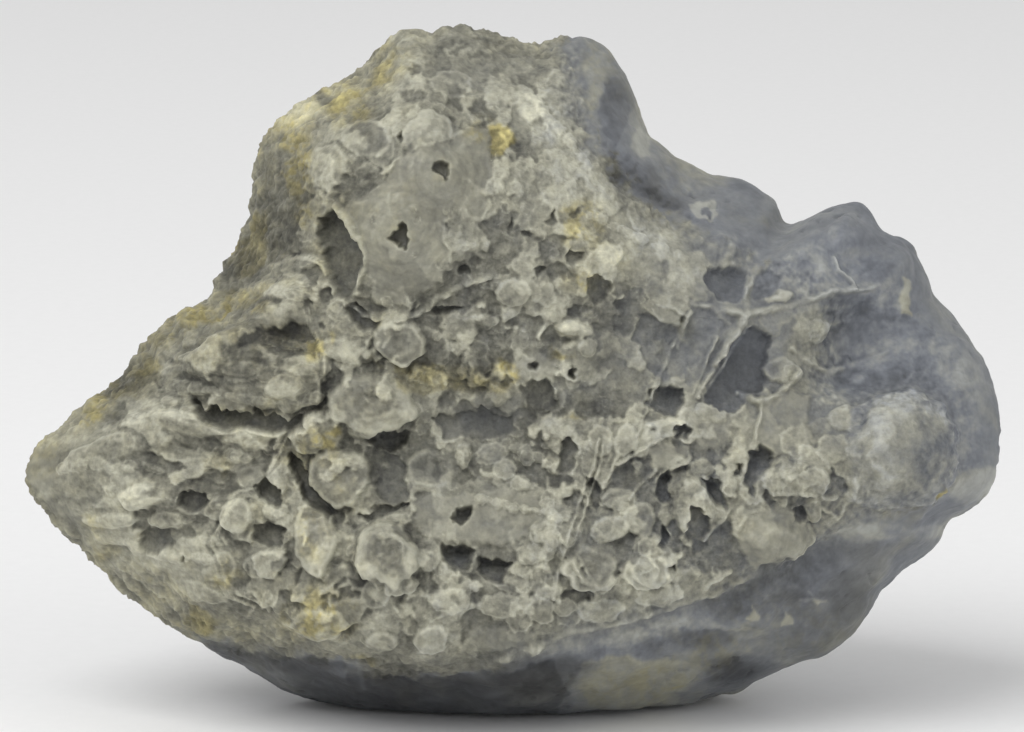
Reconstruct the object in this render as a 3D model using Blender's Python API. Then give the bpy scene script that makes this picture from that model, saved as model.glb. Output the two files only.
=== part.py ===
"""A rough chalcedony: one broken lump of grey-blue chalcedony, leaning back a little on a small flat spot.

Its front is a pale crust of knobs, shells and hollows, and its edges, underside and back are smooth
conchoidal breaks. It is one solid. The stone is worked out in the frame of its front face, in mm: across
(to the right), up, and out (towards the viewer), and is then leaned back and cut flat where it rests.
"""

from collections import namedtuple
from math import cos, radians, sin, tau

import bmesh
import bpy
import numpy as np
from mathutils import Matrix, Vector, noise

MM = 0.001

# Driving dimensions, in mm and degrees
LEAN = radians(10)
REST_LEVEL = -35.3
MIDDLE = Vector((0.1, 3.1))
FRONT_TAPER = 1 / 700
HUB = (2.0, -12.0)
EDGE_SQUARENESS = 6.0
SPOT_SOFTNESS = 1.6

# The longest edges of the mesh on the crusted face, and on the back and sides, in mm
FACE_EDGE = 2.1
BACK_EDGE = 5.2
FACE_REACH = 0.955

Patch = namedtuple("Patch", "across up half_width half_height turn rise")
Ridge = namedtuple("Ridge", "half_width rise line")
Break = namedtuple("Break", "across up out reach")

# The outline of the face, clockwise from its left tip: (across, up)
OUTLINE = (
    (-48.8, -10.4), (-47.7, -8.2), (-44.3, -5.3), (-40.5, -2.3), (-37.9, 0.6), (-35.5, 3.6),
    (-33.6, 5.0), (-30.8, 6.4), (-28.9, 9.6), (-27.0, 12.7), (-26.1, 15.6), (-25.8, 18.8),
    (-25.2, 21.8), (-23.2, 24.7), (-20.8, 26.6), (-17.6, 28.2), (-14.8, 30.4), (-13.2, 32.7),
    (-11.9, 34.0), (-10.2, 34.2), (-8.4, 33.5), (-6.2, 34.1), (-2.4, 33.6), (0.6, 32.4),
    (2.3, 31.9), (4.8, 32.8), (7.2, 33.1), (9.6, 31.4), (11.2, 29.0), (12.4, 26.4),
    (13.3, 23.6), (14.6, 22.0), (18.8, 19.5), (20.6, 19.0), (22.9, 18.5), (26.0, 16.6),
    (29.4, 14.5), (31.6, 15.5), (34.0, 16.2), (35.8, 15.2), (37.2, 13.4), (39.3, 12.4),
    (40.9, 9.4), (42.1, 6.6), (44.9, 3.6), (46.8, 0.8), (48.3, -2.4), (49.2, -5.4),
    (49.4, -8.6), (48.9, -11.4), (47.4, -13.3), (43.6, -15.3), (42.6, -17.4), (39.2, -20.4),
    (36.9, -22.4), (34.2, -26.6), (32.7, -28.3), (29.0, -29.6), (25.3, -31.2), (21.8, -32.4),
    (18.2, -33.4), (12.8, -34.4), (6.0, -35.0), (-2.0, -35.4), (-9.6, -35.4), (-14.0, -34.5),
    (-18.4, -33.6), (-22.8, -32.3), (-27.4, -29.5), (-33.2, -26.5), (-37.2, -23.6), (-41.2, -20.3),
    (-43.9, -17.4), (-46.9, -14.2),
)

# Spot heights of the front: (across, up, out)
FRONT = (
    (-48, -10, 2), (-40, -1, 3), (-33, 6, 3), (-28, 11, 1), (-26, 19, 1), (-22, 26, 3), (-15, 30, 4),
    (-11, 34, 5), (-2, 33, 3), (7, 33, 1), (13, 25, 0), (19, 19, 0), (26, 17, 1), (34, 16, 3),
    (41, 10, 4), (46, 2, 5), (49, -6, 6), (46, -14, 6), (40, -20, 3), (34, -27, 1), (25, -31, 2),
    (15, -34, 5), (5, -35, 6), (-8, -35, 5), (-18, -33.5, 3), (-28, -29, 2), (-37, -23, 3),
    (-44, -17, 3),
    (0, 0, 14), (-3, -8, 12.5), (-10, 14, 16), (-4, 20, 15), (-14, 8, 15), (-8, 28, 11.5),
    (2, 26, 10), (7, 27, 7), (8, 18, 13), (14, 12, 13.5), (20, 8, 12.5), (15, 20, 5), (22, 14, 7),
    (28, 11, 8), (34, 12, 8), (38, 8, 7), (34, 2, 8), (40, 0, 7), (44, -4, 8), (39, -8, 12),
    (44, -13, 8), (28, -12, 13.5), (20, -16, 14.5), (14, -8, 14), (22, 0, 11), (12, 6, 13),
    (0, -20, 15.5), (-12, -20, 16), (10, -22, 15), (-20, -20, 14.5), (-5, -27, 14.5),
    (-30, -26.5, 9), (-20, -28.5, 12), (-8, -30, 13.5), (0, -29.5, 14), (6, -27, 14.5),
    (15, -24, 14.5), (24, -19.5, 13.5), (34, -15, 12), (41, -14, 9), (-18, -32, 6), (-5, -33, 8),
    (5, -32.5, 9), (15, -30, 9.5), (24, -26, 9), (31, -22, 7),
    (-40, -8, 9), (-35, -13, 10.5), (-30, -5, 11.5), (-42, -12, 8), (-36, -19, 8.5),
    (-28, -16, 12.5), (-22, -10, 12), (-30, 2, 11), (-24, 4, 13), (-20, 7, 12.5), (-24, 14, 7),
    (-22, 20, 8), (-19, 24, 10), (-14, 27, 11),
)

# Spot heights of the back: (across, up, out)
BACK = (
    (-48, -10, -6), (-40, 0, -9), (-28, 10, -11), (-25, 20, -10), (-11, 33, -8), (7, 32, -10),
    (13, 24, -13), (25, 16, -13), (34, 15, -12), (46, 2, -15), (49, -7, -15), (43, -18, -15),
    (34, -26, -16), (20, -32, -20), (0, -34, -22), (-18, -33, -19), (-32, -26, -14), (-43, -18, -8),
    (0, 0, -30), (20, 0, -28), (-20, -2, -27), (0, -18, -31), (18, -15, -29), (-18, -16, -28),
    (35, -5, -23), (-36, -9, -18), (-5, 18, -23), (8, 15, -22), (0, 26, -16), (36, -14, -18),
    (0, -28, -28), (14, -27, -27), (-14, -27, -26),
)

# Flat breaks of the back and the sides: the way each faces, and how far out it lies along that
BREAKS = (
    Break(0.62, 0.28, -0.73, 34.0),
    Break(0.30, 0.62, -0.72, 26.0),
    Break(-0.62, 0.22, -0.75, 30.5),
    Break(-0.24, 0.74, -0.63, 26.8),
    Break(0.50, -0.46, -0.73, 34.6),
    Break(0.86, -0.12, -0.50, 43.5),
    Break(-0.52, -0.40, -0.75, 32.4),
    Break(-0.10, -0.72, -0.69, 36.6),
    Break(-0.12, 0.16, -0.98, 26.6),
    Break(0.26, -0.10, -0.96, 28.6),
)

# What stands proud of the crust
KNOBS = (
    Patch(-14.2, -2.9, 4.3, 3.6, 0, 2.4),
    Patch(-11.0, 2.8, 2.9, 2.4, 0, 1.5),
    Patch(-12.7, -18.9, 3.1, 3.3, 0, 2.6),
    Patch(-17.0, -11.0, 2.8, 3.2, -20, 1.8),
    Patch(-19.2, -6.6, 3.0, 2.0, -15, 1.6),
    Patch(-19.6, -18.0, 2.4, 2.8, 0, 1.7),
    Patch(-26.8, -15.0, 2.0, 2.5, 0, 1.6),
    Patch(18.0, -14.0, 2.2, 3.2, 15, 1.5),
    Patch(8.4, -20.2, 3.2, 2.6, 0, 1.5),
    Patch(13.6, -19.8, 3.0, 2.2, -15, 1.4),
    Patch(26.6, -17.6, 3.2, 2.4, 0, 1.5),
    Patch(28.6, -11.2, 3.0, 1.9, -10, 1.6),
    Patch(39.4, -8.2, 5.2, 6.0, 10, 2.2),
    Patch(-9.4, 14.6, 6.2, 8.6, -18, 1.2),
    Patch(-24.5, 5.0, 7.5, 2.6, 28, 1.9),
    Patch(-25.5, -0.5, 9.0, 3.2, -6, 1.9),
    Patch(-34.0, -6.4, 7.5, 2.0, 16, 1.2),
    Patch(-33.0, -13.2, 6.5, 1.9, -12, 1.2),
    Patch(34.0, 14.0, 3.2, 2.4, 0, 1.0),
    Patch(6.8, 1.2, 3.0, 2.2, 20, 1.1),
    Patch(5.2, -16.6, 3.0, 2.6, 0, 1.3),
    Patch(12.6, -31.2, 6.5, 1.9, 6, 1.1),
    Patch(-20.5, -24.6, 3.6, 3.0, 0, 0.9),
)

# What is hollowed out of it
HOLLOWS = (
    Patch(-16.8, 11.0, 2.2, 4.6, -8, 4.4),
    Patch(-24.6, -4.6, 7.2, 1.5, -9, 4.8),
    Patch(-12.0, -6.8, 2.4, 1.3, 0, 4.2),
    Patch(-18.6, -13.4, 1.5, 3.4, -30, 3.2),
    Patch(-25.0, -12.4, 1.6, 2.6, 0, 2.8),
    Patch(-5.0, -15.1, 1.5, 1.5, 0, 4.4),
    Patch(-5.2, -19.4, 2.6, 1.9, -10, 4.6),
    Patch(-1.6, -20.8, 1.9, 1.4, -25, 4.0),
    Patch(-15.8, 3.4, 2.0, 2.2, 0, 3.4),
    Patch(-4.4, -5.4, 4.2, 2.2, 12, 2.8),
    Patch(-7.4, -10.2, 2.4, 1.8, 0, 2.0),
    Patch(15.6, -3.2, 2.0, 1.8, 0, 3.2),
    Patch(21.4, -1.4, 3.4, 4.6, 20, 3.2),
    Patch(16.2, 3.2, 2.6, 2.4, 0, 2.0),
    Patch(18.8, 6.4, 2.3, 2.3, 0, 2.4),
    Patch(24.6, 7.4, 2.2, 2.0, 0, 1.6),
    Patch(33.6, 1.8, 6.0, 5.0, 35, 2.2),
    Patch(15.6, -12.4, 1.2, 2.0, 0, 3.2),
    Patch(21.0, -12.4, 1.2, 2.2, 25, 2.8),
    Patch(24.2, -10.4, 1.4, 4.6, -38, 2.6),
    Patch(2.4, -3.2, 1.7, 1.9, 20, 2.6),
    Patch(9.8, 3.4, 2.8, 1.9, 0, 1.8),
    Patch(-7.0, 5.8, 2.0, 1.0, 15, 2.2),
    Patch(12.5, 24.0, 2.6, 4.2, 12, 1.6),
    Patch(15.6, 16.0, 1.8, 3.4, 38, 1.8),
    Patch(-29.0, -10.0, 2.6, 1.5, -10, 2.0),
    Patch(-31.6, -0.6, 3.4, 1.1, 14, 1.6),
    Patch(20.5, -27.6, 4.6, 1.2, 12, 1.3),
    Patch(31.0, -18.6, 5.0, 1.8, 24, 1.0),
)

# The sharp lips and veins of the crust, as lines of (across, up)
RIDGES = (
    Ridge(0.9, 1.0, ((-17.6, 16.2), (-15.8, 13.4), (-14.5, 10.6), (-14.8, 7.0))),
    Ridge(0.9, 1.1, ((21.6, 5.2), (19.8, 1.4), (18.2, -2.2))),
    Ridge(0.9, 0.9, ((14.5, 7.4), (19.0, 7.0), (26.5, 6.6), (31.6, 7.8), (36.5, 8.0))),
    Ridge(1.0, 0.9, ((-33.2, -26.4), (-19.0, -28.9), (-8.0, -30.4), (3.0, -28.8), (14.0, -24.8), (25.0, -19.6))),
    Ridge(1.2, 1.2, ((8.6, 26.0), (8.2, 22.6), (11.2, 17.4), (15.6, 12.8), (20.6, 10.8))),
)


def spline_surface(spots):
    """A smooth surface through the spot heights: a function of arrays across and up that gives out."""
    spots = np.array(spots, float)
    count = len(spots)

    def kernel(distance):
        return distance**2 * np.log(np.maximum(distance, 1e-6))

    between = np.linalg.norm(spots[:, None, :2] - spots[None, :, :2], axis=2)
    plane = np.column_stack((np.ones(count), spots[:, :2]))
    system = np.zeros((count + 3, count + 3))
    system[:count, :count] = kernel(between) + SPOT_SOFTNESS * np.eye(count)
    system[:count, count:] = plane
    system[count:, :count] = plane.T
    weights = np.linalg.solve(system, np.append(spots[:, 2], np.zeros(3)))

    def out_at(across, up):
        away = np.hypot(across[:, None] - spots[:, 0], up[:, None] - spots[:, 1])
        return kernel(away) @ weights[:count] + weights[count] + across * weights[-2] + up * weights[-1]

    return out_at


def outline_reach(bearing):
    """How far the outline is from the hub at each bearing, on a smooth closed curve through its points."""
    points = np.array(OUTLINE) - HUB
    angles = np.arctan2(points[:, 1], points[:, 0])
    order = np.argsort(angles)
    angles = angles[order]
    reach = np.hypot(points[order, 0], points[order, 1])
    knots = np.concatenate((angles[-2:] - tau, angles, angles[:2] + tau))
    values = np.concatenate((reach[-2:], reach, reach[:2]))
    slopes = np.gradient(values, knots)
    after = np.clip(np.searchsorted(knots, bearing), 1, len(knots) - 1)
    before = after - 1
    step = knots[after] - knots[before]
    t = (bearing - knots[before]) / step
    return (
        (2 * t**3 - 3 * t**2 + 1) * values[before]
        + (t**3 - 2 * t**2 + t) * step * slopes[before]
        + (3 * t**2 - 2 * t**3) * values[after]
        + (t**3 - t**2) * step * slopes[after]
    )


def even_reach(bearing):
    """The outline's reach with its notches and corners evened out."""
    turns = np.radians(np.arange(-18, 19, 4))
    weights = np.cos(turns * radians(90) / radians(20))
    around = [w * outline_reach(np.remainder(bearing + t + tau / 2, tau) - tau / 2) for w, t in zip(weights, turns)]
    return sum(around) / weights.sum()


def smooth_step(low, high, value):
    t = np.clip((value - low) / (high - low), 0, 1)
    return t * t * (3 - 2 * t)


def rough(points, size, octaves):
    """Fractal noise from about -1 to 1, whose largest swells are size mm across."""
    return np.array([noise.fractal(Vector(p) / size, 1.0, 2.0, octaves) for p in points])


def patch_distance(patch, across, up):
    """0 at the patch's middle and 1 on its rim."""
    turn = radians(patch.turn)
    right, above = across - patch.across, up - patch.up
    along = (right * cos(turn) + above * sin(turn)) / patch.half_width
    aside = (above * cos(turn) - right * sin(turn)) / patch.half_height
    return np.hypot(along, aside)


def line_distance(line, across, up):
    """The distance from a line of straight runs, in mm."""
    nearest = np.full(len(across), 1e9)
    for start, end in zip(line, line[1:]):
        start, run = np.array(start), np.subtract(end, start)
        right, above = across - start[0], up - start[1]
        share = np.clip((right * run[0] + above * run[1]) / (run @ run), 0, 1)
        nearest = np.minimum(nearest, np.hypot(right - share * run[0], above - share * run[1]))
    return nearest


def crust_relief(across, up):
    """How far the knobs, hollows and ridges stand out of the broad form of the face."""
    relief = np.zeros(len(across))
    for knob in KNOBS:
        rim = patch_distance(knob, across, up)
        relief += knob.rise * smooth_step(1.1, 0.55, rim)
    for ridge in RIDGES:
        relief += ridge.rise * smooth_step(ridge.half_width, 0, line_distance(ridge.line, across, up))
    for hollow in HOLLOWS:
        relief -= hollow.rise * smooth_step(1.25, 0.4, patch_distance(hollow, across, up))
    return relief


front_at, back_at = spline_surface(FRONT), spline_surface(BACK)


def stone_surface(ways):
    """The stone's surface, in mm in the frame of its face, in each direction from its inside."""
    spread = np.hypot(ways[:, 0], ways[:, 1])
    bearing = np.arctan2(ways[:, 1], ways[:, 0])
    near_rim = smooth_step(np.where(ways[:, 2] > 0, 0.4, 0.8), 1.0, spread)
    reach = spread * (even_reach(bearing) * (1 - near_rim) + outline_reach(bearing) * near_rim)
    unit = ways[:, :2] / np.maximum(spread, 1e-9)[:, None]
    across, up = HUB[0] + reach * unit[:, 0], HUB[1] + reach * unit[:, 1]
    front, back = front_at(across, up), back_at(across, up)
    waist = (front + back) / 2
    fullness = np.sqrt(np.maximum(1 - spread**EDGE_SQUARENESS, 0))
    facing = ways[:, 2] > 0
    out = waist + np.where(facing, front - waist, back - waist) * fullness
    points = np.column_stack((across, up, out))
    for plane in BREAKS:
        normal = np.array((plane.across, plane.up, plane.out))
        normal /= np.linalg.norm(normal)
        beyond = points @ normal - plane.reach - 0.5 * rough(points + plane.reach, 14, 3)
        points -= np.outer(np.maximum(beyond, 0), normal)
    swell = rough(points, 9, 4)
    inside = smooth_step(1.0, 0.9, spread) * facing
    points[:, 2] += inside * (crust_relief(across, up) + 0.45 * rough(points + 40, 4.5, 3))
    points += ways * (0.45 * (1 - inside) * smooth_step(1.0, 0.97, spread) * swell)[:, None]
    points[:, :2] *= (1 - points[:, 2:] * FRONT_TAPER)
    return points


def ways_of(bm):
    return np.array([v.co.normalized() for v in bm.verts])


def split_long_edges(bm):
    """Halves each edge of the ball that would be too long on the stone."""
    ways = ways_of(bm)
    points = stone_surface(ways)
    on_face = (ways[:, 2] > 0) & (np.hypot(ways[:, 0], ways[:, 1]) < FACE_REACH)
    bm.verts.index_update()
    ends = np.array([(edge.verts[0].index, edge.verts[1].index) for edge in bm.edges])
    lengths = np.linalg.norm(points[ends[:, 0]] - points[ends[:, 1]], axis=1)
    limits = np.where(on_face[ends].all(axis=1), FACE_EDGE, BACK_EDGE)
    long_edges = [edge for edge, length, limit in zip(bm.edges, lengths, limits) if length > limit]
    bmesh.ops.subdivide_edges(bm, edges=long_edges, cuts=1, use_grid_fill=True)
    bmesh.ops.triangulate(bm, faces=bm.faces)


def stone_mesh():
    """A ball whose points are moved out to the stone's surface, finer on the face, and cut flat to rest."""
    bm = bmesh.new()
    bmesh.ops.create_icosphere(bm, subdivisions=4, radius=1)
    for _ in range(3):
        split_long_edges(bm)
    for vertex, point in zip(bm.verts, stone_surface(ways_of(bm))):
        vertex.co = point
    face_to_world = Matrix(((1, 0, 0), (0, sin(LEAN), -cos(LEAN)), (0, cos(LEAN), sin(LEAN))))
    bmesh.ops.rotate(bm, matrix=face_to_world, verts=bm.verts)
    bmesh.ops.translate(bm, vec=(-MIDDLE.x, -MIDDLE.y, -REST_LEVEL), verts=bm.verts)
    whole = bm.verts[:] + bm.edges[:] + bm.faces[:]
    bmesh.ops.bisect_plane(bm, geom=whole, plane_no=(0, 0, -1), clear_outer=True)
    rim = [edge for edge in bm.edges if edge.is_boundary]
    bmesh.ops.contextual_create(bm, geom=rim)
    bmesh.ops.scale(bm, vec=(MM, MM, MM), verts=bm.verts)
    bmesh.ops.recalc_face_normals(bm, faces=bm.faces)
    return bm


def grey_blue_stone():
    material = bpy.data.materials.new("chalcedony")
    material.use_nodes = True
    shader = material.node_tree.nodes["Principled BSDF"]
    shader.inputs["Base Color"].default_value = (0.36, 0.36, 0.35, 1)
    shader.inputs["Roughness"].default_value = 0.5
    shader.inputs["Metallic"].default_value = 0
    return material


def main():
    for old in list(bpy.data.objects):
        bpy.data.objects.remove(old)
    mesh = bpy.data.meshes.new("chalcedony")
    bm = stone_mesh()
    bm.to_mesh(mesh)
    bm.free()
    stone = bpy.data.objects.new("chalcedony", mesh)
    mesh.materials.append(grey_blue_stone())
    bpy.context.scene.collection.objects.link(stone)


main()
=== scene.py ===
"""The looks of a rough chalcedony: a grey-blue lump with a pale crust of knobs, shells and hollows.

Shapes are worked out in the frame of the stone's face, in mm: across (to the right), up, and out (towards
the viewer). The crust's relief is drawn up first as maps of the face, which the mesh then follows. Points
are leaned back and set down on the flat spot, in metres, where the CAD part is.
"""

from collections import namedtuple
from functools import lru_cache
from itertools import product
from math import cos, degrees, pi, radians, sin, tau

import bmesh
import bpy
import numpy as np
from bpy.props import FloatProperty, FloatVectorProperty, IntProperty, PointerProperty
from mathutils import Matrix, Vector


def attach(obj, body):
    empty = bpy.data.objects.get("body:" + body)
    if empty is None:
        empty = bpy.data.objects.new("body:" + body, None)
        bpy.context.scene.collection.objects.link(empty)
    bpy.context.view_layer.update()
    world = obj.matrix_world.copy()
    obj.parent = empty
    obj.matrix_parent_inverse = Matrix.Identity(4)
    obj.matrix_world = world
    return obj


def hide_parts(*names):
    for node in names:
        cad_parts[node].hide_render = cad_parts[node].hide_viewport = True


bl_info = {
    "name": "Rough Chalcedony",
    "version": (1, 0, 0),
    "blender": (4, 5, 0),
    "location": "3D View > Sidebar > Chalcedony",
    "description": "Builds the looks of a rough chalcedony around its packed CAD part",
    "category": "Add Mesh",
}

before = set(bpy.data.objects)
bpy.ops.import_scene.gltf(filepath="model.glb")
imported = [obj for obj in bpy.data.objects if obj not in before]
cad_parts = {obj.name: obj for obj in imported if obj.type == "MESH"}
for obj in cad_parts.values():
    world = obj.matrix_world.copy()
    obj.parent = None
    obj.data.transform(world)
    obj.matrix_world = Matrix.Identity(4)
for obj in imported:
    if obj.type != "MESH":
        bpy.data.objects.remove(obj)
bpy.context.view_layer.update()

MM = 0.001

# The frame of the face, as in the CAD part, in mm and degrees
LEAN = radians(10)
REST_LEVEL = -35.3
MIDDLE = Vector((0.1, 3.1))
FRONT_TAPER = 1 / 700
HUB = (2.0, -12.0)
EDGE_SQUARENESS = 6.0
SPOT_SOFTNESS = 1.6

# Points nearer the floor than this, in mm, are pressed softly upwards, so that none is below it
FLAT_BELOW = 0.9

# The values of each row of the tables: places and sizes are in mm of the face, and turns in degrees
Patch = namedtuple("Patch", "across up half_width half_height turn rise")
Break = namedtuple("Break", "across up out reach")
Pit = namedtuple("Pit", "depth outline")
Plate = namedtuple("Plate", "smooth lift outline")
Row = namedtuple("Row", "half_width half_height rise tone line")
Tint = namedtuple("Tint", "soft lift tone warm outline")
Ridge = namedtuple("Ridge", "half_width rise tone line")
Shell = namedtuple(
    "Shell", "across up half_width half_height turn rise cup rings tone free", defaults=(None,)
)
Stain = namedtuple("Stain", "across up half_width half_height strength turn", defaults=(0,))


def table(kind, *rows):
    """A table whose rows are all of one kind."""
    return tuple(kind(*row) for row in rows)


# The outline of the face, clockwise from its left tip: (across, up)
OUTLINE = (
    (-48.8, -10.4), (-47.7, -8.2), (-44.3, -5.3), (-40.5, -2.3), (-37.9, 0.6), (-35.5, 3.6), (-33.6, 5),
    (-30.8, 6.4), (-28.9, 9.6), (-27, 12.7), (-26.1, 15.6), (-25.8, 18.8), (-25.2, 21.8), (-23.2, 24.7),
    (-20.8, 26.6), (-17.6, 28.2), (-14.8, 30.4), (-13.2, 32.7), (-11.9, 34), (-10.2, 34.2), (-8.4, 33.5),
    (-6.2, 34.1), (-2.4, 33.6), (0.6, 32.4), (2.3, 31.9), (4.8, 32.8), (7.2, 33.1), (9.6, 31.4), (11.2, 29),
    (12.4, 26.4), (13.3, 23.6), (14.6, 22), (18.8, 19.5), (20.6, 19), (22.9, 18.5), (26, 16.6),
    (29.4, 14.5), (31.6, 15.5), (34, 16.2), (35.8, 15.2), (37.2, 13.4), (39.3, 12.4), (40.9, 9.4),
    (42.1, 6.6), (44.9, 3.6), (46.8, 0.8), (48.3, -2.4), (49.2, -5.4), (49.4, -8.6), (48.9, -11.4),
    (47.4, -13.3), (43.6, -15.3), (42.6, -17.4), (39.2, -20.4), (36.9, -22.4), (34.2, -26.6), (32.7, -28.3),
    (29, -29.6), (25.3, -31.2), (21.8, -32.4), (18.2, -33.4), (12.8, -34.4), (6, -35), (-2, -35.4),
    (-9.6, -35.4), (-14, -34.5), (-18.4, -33.6), (-22.8, -32.3), (-27.4, -29.5), (-33.2, -26.5),
    (-37.2, -23.6), (-41.2, -20.3), (-43.9, -17.4), (-46.9, -14.2),
)

# Spot heights of the front: (across, up, out)
FRONT = (
    (-48, -10, 2), (-40, -1, 3), (-33, 6, 3), (-28, 11, 1), (-26, 19, 1), (-22, 26, 3), (-15, 30, 4),
    (-11, 34, 5), (-2, 33, 3), (7, 33, 1), (13, 25, 0), (19, 19, 0), (26, 17, 1), (34, 16, 3),
    (41, 10, 4), (46, 2, 5), (49, -6, 6), (46, -14, 6), (40, -20, 3), (34, -27, 1), (25, -31, 2),
    (15, -34, 5), (5, -35, 6), (-8, -35, 5), (-18, -33.5, 3), (-28, -29, 2), (-37, -23, 3),
    (-44, -17, 3),
    (0, 0, 14), (-3, -8, 12.5), (-10, 14, 16), (-4, 20, 15), (-14, 8, 15), (-8, 28, 11.5),
    (2, 26, 10), (7, 27, 7), (8, 18, 13), (14, 12, 13.5), (20, 8, 12.5), (15, 20, 5), (22, 14, 7),
    (28, 11, 8), (34, 12, 8), (38, 8, 7), (34, 2, 8), (40, 0, 7), (44, -4, 8), (39, -8, 12),
    (44, -13, 8), (28, -12, 13.5), (20, -16, 14.5), (14, -8, 14), (22, 0, 11), (12, 6, 13),
    (0, -20, 15.5), (-12, -20, 16), (10, -22, 15), (-20, -20, 14.5), (-5, -27, 14.5),
    (-30, -26.5, 9), (-20, -28.5, 12), (-8, -30, 13.5), (0, -29.5, 14), (6, -27, 14.5),
    (15, -24, 14.5), (24, -19.5, 13.5), (34, -15, 12), (41, -14, 9), (-18, -32, 6), (-5, -33, 8),
    (5, -32.5, 9), (15, -30, 9.5), (24, -26, 9), (31, -22, 7),
    (-40, -8, 9), (-35, -13, 10.5), (-30, -5, 11.5), (-42, -12, 8), (-36, -19, 8.5),
    (-28, -16, 12.5), (-22, -10, 12), (-30, 2, 11), (-24, 4, 13), (-20, 7, 12.5), (-24, 14, 7),
    (-22, 20, 8), (-19, 24, 10), (-14, 27, 11),
)

# Spot heights of the back: (across, up, out)
BACK = (
    (-48, -10, -6), (-40, 0, -9), (-28, 10, -11), (-25, 20, -10), (-11, 33, -8), (7, 32, -10),
    (13, 24, -13), (25, 16, -13), (34, 15, -12), (46, 2, -15), (49, -7, -15), (43, -18, -15),
    (34, -26, -16), (20, -32, -20), (0, -34, -22), (-18, -33, -19), (-32, -26, -14), (-43, -18, -8),
    (0, 0, -30), (20, 0, -28), (-20, -2, -27), (0, -18, -31), (18, -15, -29), (-18, -16, -28),
    (35, -5, -23), (-36, -9, -18), (-5, 18, -23), (8, 15, -22), (0, 26, -16), (36, -14, -18),
    (0, -28, -28), (14, -27, -27), (-14, -27, -26),
)

# Flat breaks of the back and the sides: the way each faces, and how far out it lies along that
BREAKS = table(
    Break,
    (0.62, 0.28, -0.73, 34), (0.3, 0.62, -0.72, 26), (-0.62, 0.22, -0.75, 30.5), (-0.24, 0.74, -0.63, 26.8),
    (0.5, -0.46, -0.73, 34.6), (0.86, -0.12, -0.5, 43.5), (-0.52, -0.4, -0.75, 32.4),
    (-0.1, -0.72, -0.69, 36.6), (-0.12, 0.16, -0.98, 26.6), (0.26, -0.1, -0.96, 28.6),
)

# The broad lumps that carry the shells of the crust
KNOBS = table(
    Patch,
    (-14.2, -3.9, 4.3, 3.2, 0, 2.4), (-11, 2.8, 2.9, 2.4, 0, 1.5), (-12.7, -18.9, 3.1, 3.3, 0, 2.6),
    (-17, -11, 2.8, 3.2, -20, 1.8), (-19.2, -6.6, 3, 2, -15, 1.6), (-19.6, -18, 2.4, 2.8, 0, 1.7),
    (-26.8, -15, 2, 2.5, 0, 1.6), (18, -14, 2.2, 3.2, 15, 1.5), (8.4, -20.2, 3.2, 2.6, 0, 1.5),
    (13.6, -19.8, 3, 2.2, -15, 1.4), (26.6, -17.6, 3.2, 2.4, 0, 1.5), (28.6, -11.2, 3, 1.9, -10, 1.6),
    (39.4, -8.2, 5.2, 6, 10, 2.2), (-9.4, 14.6, 6.2, 8.6, -18, 1.2), (-24.5, 5, 7.5, 2.6, 28, 1.9),
    (-25.5, -0.5, 9, 3.2, -6, 1.9), (-34, -6.4, 7.5, 2, 16, 1.2), (-33, -13.2, 6.5, 1.9, -12, 1.2),
    (34, 14, 3.2, 2.4, 0, 1), (6.8, 1.2, 3, 2.2, 20, 1.1), (5.2, -16.6, 3, 2.6, 0, 1.3),
    (12.6, -31.2, 6.5, 1.9, 6, 1.1), (-20.5, -24.6, 3.6, 3, 0, 0.9),
)

# Broad dips of the stone under its crust
DIPS = table(
    Patch,
    (33.6, 1.8, 6, 5, 35, 2.2), (12.5, 24, 2.6, 4.2, 12, 1.6), (15.6, 16, 1.8, 3.4, 38, 1.8),
    (24.6, 7.4, 2.2, 2, 0, 1.2), (20.5, -27.6, 4.6, 1.2, 12, 1.3), (31, -18.6, 5, 1.8, 24, 1),
    (16.2, 2.4, 2.6, 2.8, 0, 1.6),
)

# Where the crust is in flat layers rather than round lumps
LAYERED = (
    (-60, 12), (-26, 12), (-20, 9), (-19, 2), (-20, -4), (-23, -9), (-28, -13), (-30, -18), (-26, -24),
    (-30, -30), (-60, -30),
)

# The eyes that the smooth plate's bands ring
EYES = ((-11.0, 13.4), (-7.1, 19.4))

# Where the crust lies, as a closed outline of (across, up)
CRUST = (
    (-59.2, -19.4), (-59.2, 44.6), (4, 44.6), (4.4, 33.2), (5.6, 30.6), (6.4, 27.1), (7.5, 23.6),
    (9.1, 20.8), (11.4, 17.8), (14, 15.8), (17.8, 13.8), (22, 11.4), (27, 9.4), (30.6, 7.8), (32.8, 5.4),
    (33, 1.6), (31.4, -1.8), (33.8, -3.6), (36.8, -3), (40.3, -2.9), (42.8, -5.9), (43.6, -9.4),
    (42.3, -12.4), (39.3, -13.9), (35, -14.9), (32.6, -16.2), (30.3, -18.9), (26.8, -20.6), (24, -21.2),
    (20, -23.2), (14.8, -24.6), (9.2, -26.2), (5.4, -26.8), (2.8, -28.4), (-1.2, -29.8), (-6.4, -30.9),
    (-10.4, -31.4), (-14.5, -30.4), (-19.8, -28.9), (-27, -28.3), (-32.4, -26.7), (-37.2, -25.9),
    (-45.2, -23.4),
)

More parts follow.
